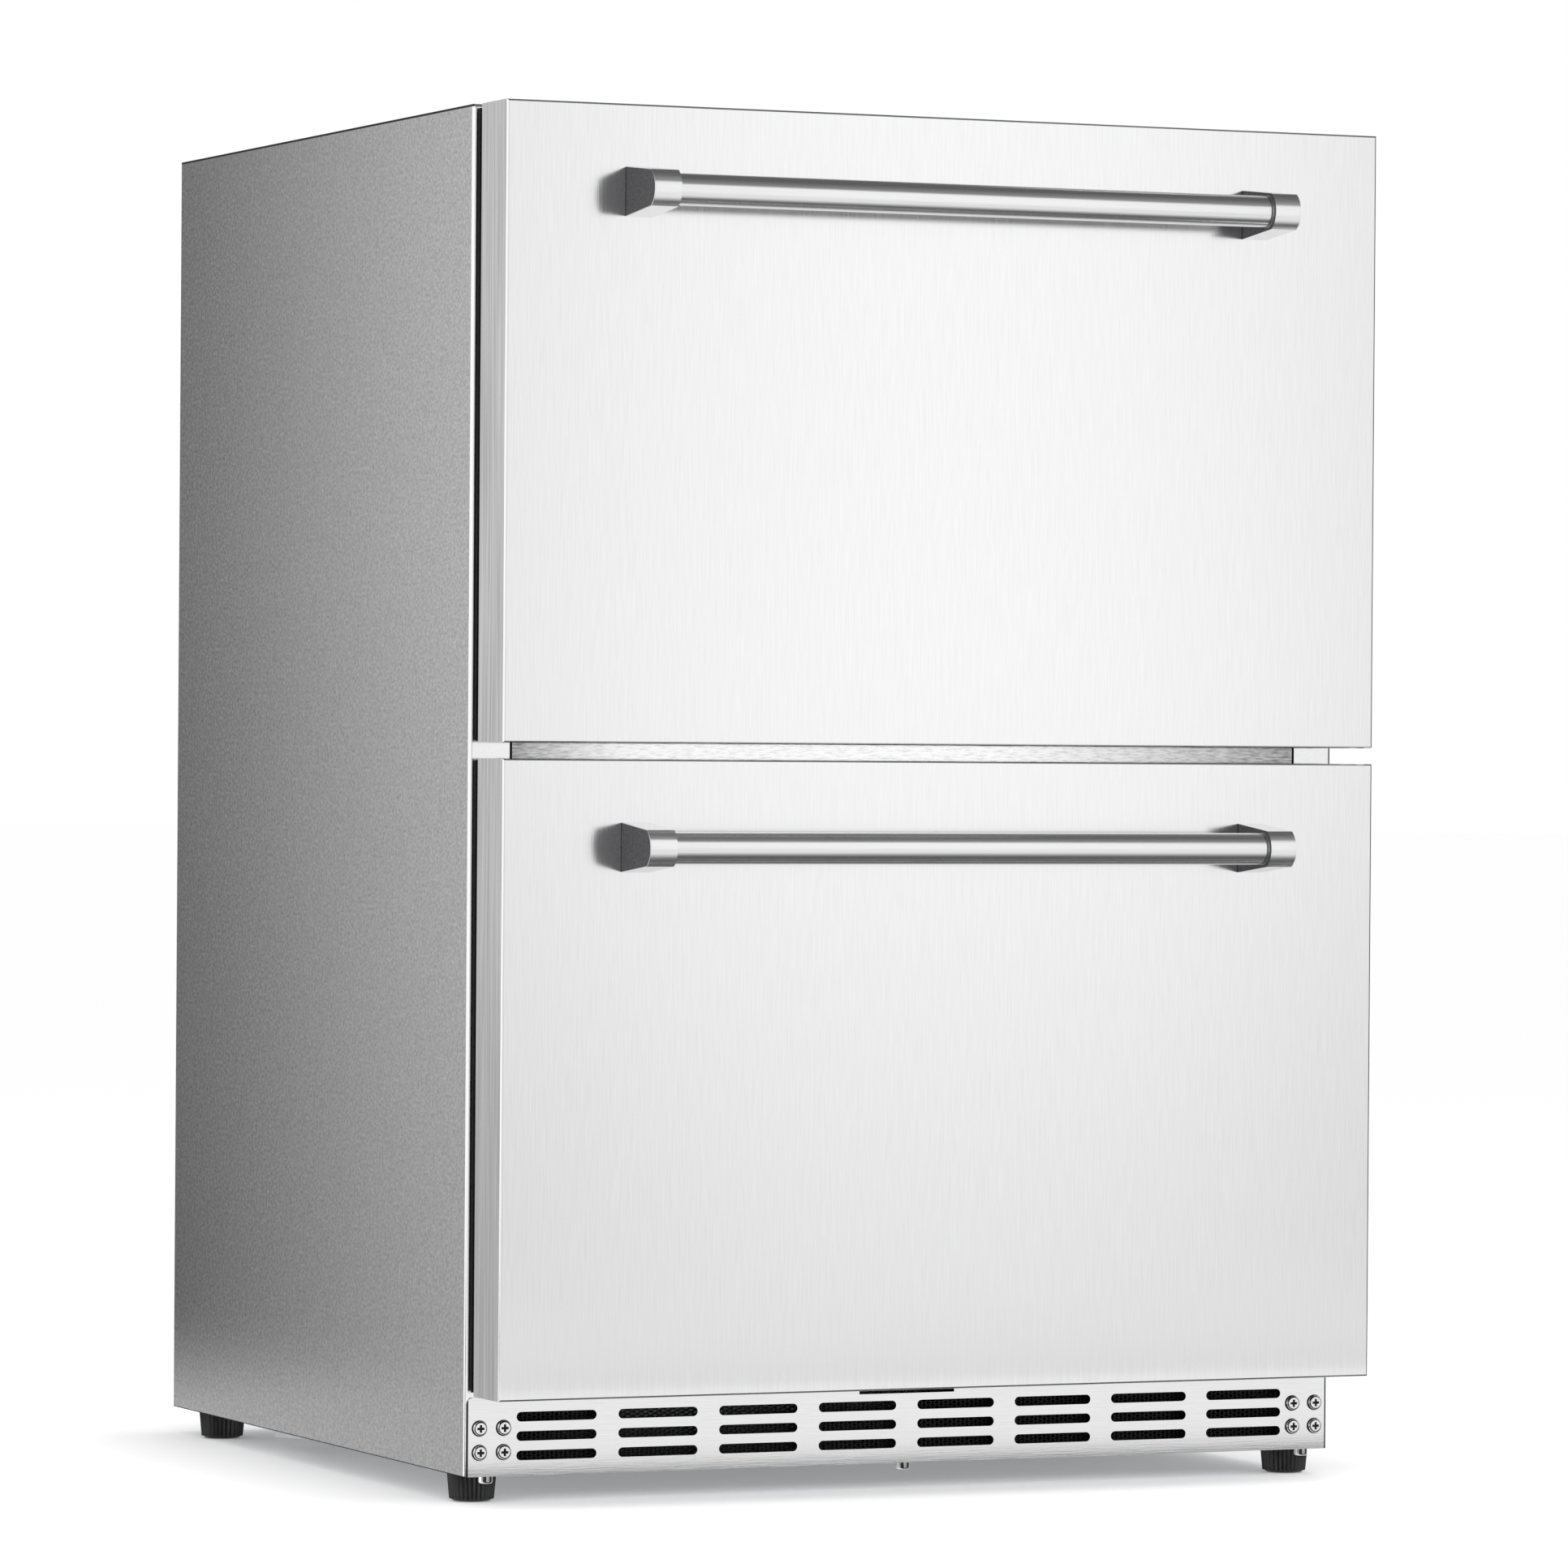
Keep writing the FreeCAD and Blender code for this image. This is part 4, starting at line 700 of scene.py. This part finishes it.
def strand_screen(low, high, diamond, rise, strand):
    """Expanded metal: every strand runs across as a rounded zigzag, z = level + half a rise times a wave that
    is turned round on every other strand, so neighbours meet at the tips. The wave is a sine whose size is
    raised to the power 0.7, in six steps a turn, and a flat four-sided profile is carried along it."""
    count = int((high.z - low.z - strand) / rise)
    turns = int((high.x - low.x) / diamond)
    along = np.linspace(0, turns, turns * 6 + 1)
    wave = np.sin(2 * np.pi * along)
    wave = np.sign(wave) * np.abs(wave) ** 0.7
    level = low.z + strand + rise * (np.arange(count) + 0.5)
    sign = np.where(np.arange(count) % 2, -1.0, 1.0)
    middle_z = level[:, None] + sign[:, None] * wave[None, :] * rise * 0.5
    middle_x = np.broadcast_to(low.x + along / turns * (high.x - low.x), middle_z.shape)
    across = np.array([-1, 1, 1, -1]) * strand / 2
    back = np.array([-1, -1, 1, 1]) * (high.y - low.y) / 2
    z = np.clip(middle_z[..., None] + across, low.z, high.z)
    y = np.broadcast_to((low.y + high.y) / 2 + back, z.shape)
    x = np.broadcast_to(middle_x[..., None], z.shape)
    per = len(along) * 4
    first = np.arange(4)
    ends = np.array([first, (per - 4 + first)[::-1]])
    one = np.vstack([grid_faces(len(along), 4, close_columns=True)[:, ::-1], ends])
    faces = (np.arange(count)[:, None, None] * per + one[None]).reshape(-1, 4)
    return np.stack([x, y, z], -1), faces.tolist()


class AirScreen(bpy.types.Operator):
    """Replaces the plain filter sheet behind the grille with an expanded metal screen."""
    bl_idname = "fridge.air_screen"
    bl_label = "Air screen"

    def execute(self, context):
        sizes = context.scene.fridge_screen
        low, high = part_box("air_filter")
        points, faces = strand_screen(low, high, sizes.diamond, sizes.rise, sizes.strand)
        black = painted("screen_black", sizes.colour, gloss=0.45)
        piece = new_piece("air_screen_strands", points, faces, black, "cabinet", smooth=False)
        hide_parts("air_filter")
        return {"FINISHED"}


def bellows_profile(width, depth, count):
    """Closed gasket section in widths inward and depths backward: a flat foot to a quarter of the depth, a
    folded waist to three quarters and a round magnet bulb. The half width is level and then a slope on the
    foot, a base value plus a cosine of the depth on the waist and an ellipse on the bulb; both flanks are
    joined at foot and bulb."""
    t = np.linspace(0, 1, count)
    waist = 0.30 + 0.10 * np.cos(4 * np.pi * np.clip(t, 0.25, 0.75))
    foot = 0.5 - 0.2 * np.clip((t - 0.12) / 0.13, 0, 1)
    bulb = 0.5 * np.sqrt(np.clip(1 - ((t - 0.86) / 0.145) ** 2, 0, 1))
    half = np.where(t < 0.25, foot, np.where(t < 0.75, waist, np.maximum(bulb, 0.3 * (t < 0.8))))
    half = np.maximum(half, 0.02)
    inset = np.concatenate([0.5 - half, 0.5 + half[::-1]]) * width
    back = np.concatenate([t, t[::-1]]) * depth
    return inset, back


def framed(inset, back, low, high):
    """Carries a section round a rectangle with mitred corners: each corner point moves inward by the inset."""
    x0, x1 = low.x + inset, high.x - inset
    z0, z1 = low.z + inset, high.z - inset
    y = low.y + back
    return np.stack([np.stack([a, y, b], -1) for a, b in ((x0, z0), (x1, z0), (x1, z1), (x0, z1))])


def swept_bead(profile, start, end):
    """A closed profile of offsets carried straight from one point to another, with both ends closed by a fan
    that meets in the profile's middle."""
    ring = np.stack([start, end])[:, None, :] + profile[None, :, :]
    count = len(profile)
    wall = grid_faces(2, count, close_columns=True)
    first = np.arange(count)
    after = (first + 1) % count
    near_fan = np.stack([np.full(count, 2 * count), after, first], -1)
    far_fan = np.stack([np.full(count, 2 * count + 1), count + first, count + after], -1)
    points = np.vstack([ring.reshape(-1, 3), ring.mean(1)])
    return points, wall, np.vstack([near_fan, far_fan])


def washer_rings(centres):
    """Half-round black rings of painted shade that face the front: the angle round the screw and the angle over
    the section are the two parameters; the section is a flat half circle between the inner and the outer
    radius."""
    turn = np.linspace(0, 2 * np.pi, 33)[:-1]
    over = np.linspace(0, np.pi, 7)
    radius = (SHADE_RING_INNER + SHADE_RING_OUTER) / 2 + (SHADE_RING_OUTER - SHADE_RING_INNER) / 2 * np.cos(over)
    x = radius[None, :] * np.cos(turn)[:, None]
    z = radius[None, :] * np.sin(turn)[:, None]
    y = np.broadcast_to(-SHADE_RING_HEIGHT * np.sin(over), x.shape)
    points = np.asarray(centres)[:, None, None, :] + np.stack([x, y, z], -1)[None]
    one = grid_faces(len(turn), len(over), close_rows=True, close_columns=True)[:, ::-1]
    faces = (np.arange(len(centres))[:, None, None] * x.size + one[None]).reshape(-1, 4)
    return points, faces.tolist()


class Seams(bpy.types.Operator):
    """Lays black strips and rings of painted shade: in the seams at the mullion's ends and under the grille
    screws.
    """
    bl_idname = "fridge.seams"
    bl_label = "Seams and washers"

    def execute(self, context):
        # Black rubber for pieces that stand in for shade
        black = rubber("shade_piece_rubber", context.scene.fridge_plastic.rubber)
        self.strips(black)
        self.washers(black)
        return {"FINISHED"}

    def strips(self, black):
        """Oval black beads of painted shade that stand upright, a little longer than the mullion core is high.
        """
        low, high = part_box("cross_rails")
        core_low, core_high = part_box("mullion_core")
        turn = np.linspace(0, 2 * np.pi, 13)[:-1]
        profile = np.stack([STRIP_HALF_WIDTH * np.cos(turn), STRIP_HALF_DEPTH * np.sin(turn),
                            np.zeros(turn.shape)], -1)
        points, faces, count = [], [], 0
        for side in (-1, 1):
            x, y = side * (high.x + STRIP_OFFSET), low.y + STRIP_SETBACK
            strip, wall, caps = swept_bead(profile, np.array([x, y, core_low.z - STRIP_OVERLAP]),
                                           np.array([x, y, core_high.z + STRIP_OVERLAP]))
            points.append(strip)
            faces += (wall + count).tolist() + (caps + count).tolist()
            count += len(strip)
        new_piece("mullion_seam_strips", np.vstack(points), faces, black, "cabinet")

    def washers(self, black):
        """Black rings of painted shade round the screw heads: two columns and two rows at each end of the
        grille.
        """
        low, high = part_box("kick_grille")
        edge = high.x + GRILLE_END_GAP - SCREW_INSET
        centres = [(side * (edge - SCREW_COLUMN * i), low.y - SHADE_RING_LIFT, low.z + SCREW_ROW * j)
                   for side in (-1, 1) for i in (0, 1) for j in (1, 2)]
        points, faces = washer_rings(centres)
        new_piece("grille_shade_rings", points, faces, black, "cabinet")


class Gaskets(bpy.types.Operator):
    """Replaces the stepped gaskets with folded bellows and a round magnet bulb."""
    bl_idname = "fridge.gaskets"
    bl_label = "Gaskets"

    def execute(self, context):
        black = rubber("gasket_rubber", context.scene.fridge_plastic.rubber)
        reach = Vector((0, 0, GASKET_REACH))
        for level in LEVELS:
            low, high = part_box(level + "_gasket")
            low, high = low - reach, high + reach
            inset, back = bellows_profile(GASKET_WIDTH, high.y - low.y, 40)
            points = framed(inset, back, low, high)
            faces = grid_faces(4, len(inset), close_rows=True, close_columns=True).tolist()
            piece = new_piece(level + "_gasket_bellows", points, faces, black, level + "_drawer")
            piece.modifiers.new("sharp_folds", "EDGE_SPLIT").split_angle = math.radians(50)
            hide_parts(level + "_gasket")
        return {"FINISHED"}


# Stage

def stage_sheet(name, points, shape, material):
    """A plain sheet from a grid of points, only part of the stage."""
    sheet = new_object(name, points, grid_faces(*shape).tolist(), material)
    return sheet


def seen_directly(shader):
    """One for rays from the camera, off polished metal and through glass, and nought for the rest."""
    rays = [shader.node("ShaderNodeLightPath", output=name)
            for name in ("Is Camera Ray", "Is Glossy Ray", "Is Transmission Ray")]
    return rays[0].larger(rays[1]).larger(rays[2])


def floor_finish(colour):
    """Matt white that glows a little where it is looked at, so that it meets the background and keeps its
    shadow. The glow is stronger in a belt round the footprint, beginning just outside it."""
    half_width, middle, half_depth = 0.3, 0.075, 0.225
    finish = Finish("stage_floor")
    speckled = finish.vary(finish.noise(120.0), colour, 0.99, 1.01)
    matt = finish.node("ShaderNodeBsdfDiffuse", None, {"Color": speckled})
    x, y, _ = finish.xyz()
    beside = (abs(x) - half_width).larger(0.0)
    before = (abs(y - middle) - half_depth).larger(0.0)
    away = (beside ** 2 + before ** 2) ** 0.5
    glow = 0.17 + 0.25 * away.between(0.01, 0.12) * (1 - away.between(0.5, 1.0))
    lit = finish.node("ShaderNodeEmission", None, {"Color": finish.grey(glow * seen_directly(finish))})
    finish.surface(finish.node("ShaderNodeAddShader", None, {0: matt, 1: lit}))
    return finish.material


def card_finish(name, level):
    """A lit card: level gives its brightness from the place on it."""
    finish = Finish(name)
    light = finish.grey(level(*finish.xyz()))
    finish.surface(finish.node("ShaderNodeEmission", None, {"Color": light}))
    return finish.material


def only_in_reflections(sheet):
    sheet.visible_camera = False
    sheet.visible_diffuse = False
    sheet.visible_shadow = False
    sheet.visible_transmission = False


def flat_card(name, level, *spans):
    """A lit card seen in reflections only; each axis has a span of two ends or one fixed place."""
    lines = [np.linspace(*span, 4) if isinstance(span, tuple) else np.array([span]) for span in spans]
    points = np.stack(np.meshgrid(*lines, indexing="ij"), -1)
    only_in_reflections(stage_sheet(name, points, (4, 4), card_finish(name, level)))


class Stage(bpy.types.Operator):
    """Makes the floor, the reflecting cards, the lamps, the background and the camera."""
    bl_idname = "fridge.stage"
    bl_label = "Stage"

    def execute(self, context):
        scene = context.scene
        look = scene.fridge_stage
        scene.view_settings.view_transform = "Standard"
        self.floor(look)
        self.side_cards(look)
        self.flat_cards(look)
        self.lamps()
        self.background(scene, look)
        self.camera(scene, look)
        return {"FINISHED"}

    def floor(self, look):
        """A round floor: radius and angle as the two parameters."""
        radius, turn = np.meshgrid(FLOOR_RADII, np.linspace(0, 2 * np.pi, 49), indexing="ij")
        points = np.stack([radius * np.cos(turn), radius * np.sin(turn), np.full(radius.shape, FLOOR_Z)], -1)
        stage_sheet("stage_floor", points, radius.shape, floor_finish(look.floor))

    def side_cards(self, look):
        """An angle of floor and wall beside each side, dimmer to the back and at the foot: a profile of x and z
        carried along y. Its near floor corner is drawn forward, because the foot of a side mirrors it."""
        card = card_finish("stage_side_card", lambda x, y, z: look.card * (1 - 0.8 * y.between(0.5, 1.25))
                           * (0.76 + 0.24 * z.between(0.0, 0.6)))
        profile = np.array([[0.32, LOW_CARD_Z], [0.6, LOW_CARD_Z], [0.6, 1.8]])
        y = np.repeat([[0.1], [0.8], [1.7], [2.6]], 3, 1)
        y[0, 0] = -0.18
        z = np.broadcast_to(profile[:, 1], y.shape)
        for side, name in ((-1, "left"), (1, "right")):
            x = np.broadcast_to(side * profile[:, 0], y.shape)
            sheet = stage_sheet("stage_{}_card".format(name), np.stack([x, y, z], -1), y.shape, card)
            only_in_reflections(sheet)

    def flat_cards(self, look):
        """One card overhead, one on the floor ahead, a narrow one close before the grille and a bright one far
        ahead whose middle the fronts mirror."""
        flat_card("stage_canopy", lambda x, y, z: look.canopy + 0.4 * y.between(0.9, 2.2)
                  + 0.24 * y.between(-0.5, -2.4), (-2.6, 2.6), (-2.8, 2.4), 2.2)
        flat_card("stage_low_card", lambda x, y, z: 0.11 + look.low_card * y.between(-0.55, -1.0),
                  (-2.0, 3.0), (-2.6, -0.235), LOW_CARD_Z)
        flat_card("stage_kick_card", lambda x, y, z: 0.9, (-0.6, 1.0), -0.36, (0.005, 0.064))
        flat_card("stage_front_card", lambda x, y, z: 1.04 * (1 - 0.83 * abs(x - 0.57).smaller(0.6) ** 2)
                  * (0.82 + 0.18 * z.between(0.0, 0.5)), (-1.2, 2.2), -1.5, (0.02, 1.6))

    def lamps(self):
        """Two round lamps that light matt surfaces from above and from ahead."""
        target = Vector((0, 0, 0.4))
        for name, place, size, watts in (("stage_top_lamp", (0.2, -0.6, 2.6), 2.6, 9.0),
                                         ("stage_front_lamp", (1.2, -3.2, 1.5), 2.0, 12.0)):
            lamp = bpy.data.lights.new(name, "AREA")
            lamp.shape = "DISK"
            lamp.size = size
            lamp.energy = watts
            holder = bpy.data.objects.new(name, lamp)
            holder.location = place
            holder.rotation_euler = (target - Vector(place)).to_track_quat("-Z", "Y").to_euler()
            holder.visible_glossy = False
            bpy.context.scene.collection.objects.link(holder)

    def background(self, scene, look):
        """White where it is looked at or mirrored, and an even room light on everything else."""
        world = bpy.data.worlds.new("stage_background")
        world.use_nodes = True
        scene.world = world
        shader = Shader(world.node_tree)
        seen = seen_directly(shader)
        level = seen + look.ambient * (1 - seen)
        light = shader.node("ShaderNodeBackground", None, {"Color": (*WHITE, 1), "Strength": level})
        shader.node("ShaderNodeOutputWorld", None, {"Surface": light})

    def camera(self, scene, look):
        """Stands where the straight edges of the cabinet fix it: yaw, pitch and roll turn its three axes."""
        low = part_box("left_side_panel")[0]
        lens = bpy.data.cameras.new("stage_camera")
        lens.lens = look.lens
        lens.sensor_width = SENSOR_MM
        lens.clip_end = 200.0
        holder = bpy.data.objects.new("stage_camera", lens)
        ahead = Vector((math.sin(look.yaw) * math.cos(look.pitch), math.cos(look.yaw) * math.cos(look.pitch),
                        math.sin(look.pitch)))
        right = Vector((math.cos(look.yaw), -math.sin(look.yaw), 0))
        up = right.cross(ahead)
        across = right * math.cos(look.roll) + up * math.sin(look.roll)
        upright = up * math.cos(look.roll) - right * math.sin(look.roll)
        turn = Matrix((across, upright, -ahead)).transposed()
        place = Matrix.Translation((CAMERA_X, low.y + CAMERA_Y, low.z + CAMERA_Z))
        holder.matrix_world = place @ turn.to_4x4()
        scene.collection.objects.link(holder)
        scene.camera = holder


STEPS = (OuterPanels, Handles, HiddenSheets, Liners, Drawers, Machine, Controls, Feet, AirScreen, Seams,
         Gaskets, Stage)
SETTINGS = {"fridge_steel": SteelSettings, "fridge_plastic": PlasticSettings, "fridge_screen": ScreenSettings,
            "fridge_stage": StageSettings}


class SidebarPanel(bpy.types.Panel):
    """Lists the settings and the steps in the sidebar."""
    bl_idname = "VIEW3D_PT_fridge"
    bl_label = "Refrigerator"
    bl_space_type = "VIEW_3D"
    bl_region_type = "UI"
    bl_category = "Refrigerator"

    def draw(self, context):
        for key, group in SETTINGS.items():
            column = self.layout.column(align=True)
            for name in group.__annotations__:
                column.prop(getattr(context.scene, key), name)
        for step in STEPS:
            self.layout.operator(step.bl_idname)


def register():
    for group in SETTINGS.values():
        bpy.utils.register_class(group)
    for key, group in SETTINGS.items():
        setattr(bpy.types.Scene, key, PointerProperty(type=group))
    for step in STEPS:
        bpy.utils.register_class(step)
    bpy.utils.register_class(SidebarPanel)


def unregister():
    bpy.utils.unregister_class(SidebarPanel)
    for step in reversed(STEPS):
        bpy.utils.unregister_class(step)
    for key, group in SETTINGS.items():
        delattr(bpy.types.Scene, key)
        bpy.utils.unregister_class(group)


def main():
    register()
    for step in STEPS:
        family, name = step.bl_idname.split(".")
        getattr(getattr(bpy.ops, family), name)()


if __name__ == "__main__":
    main()
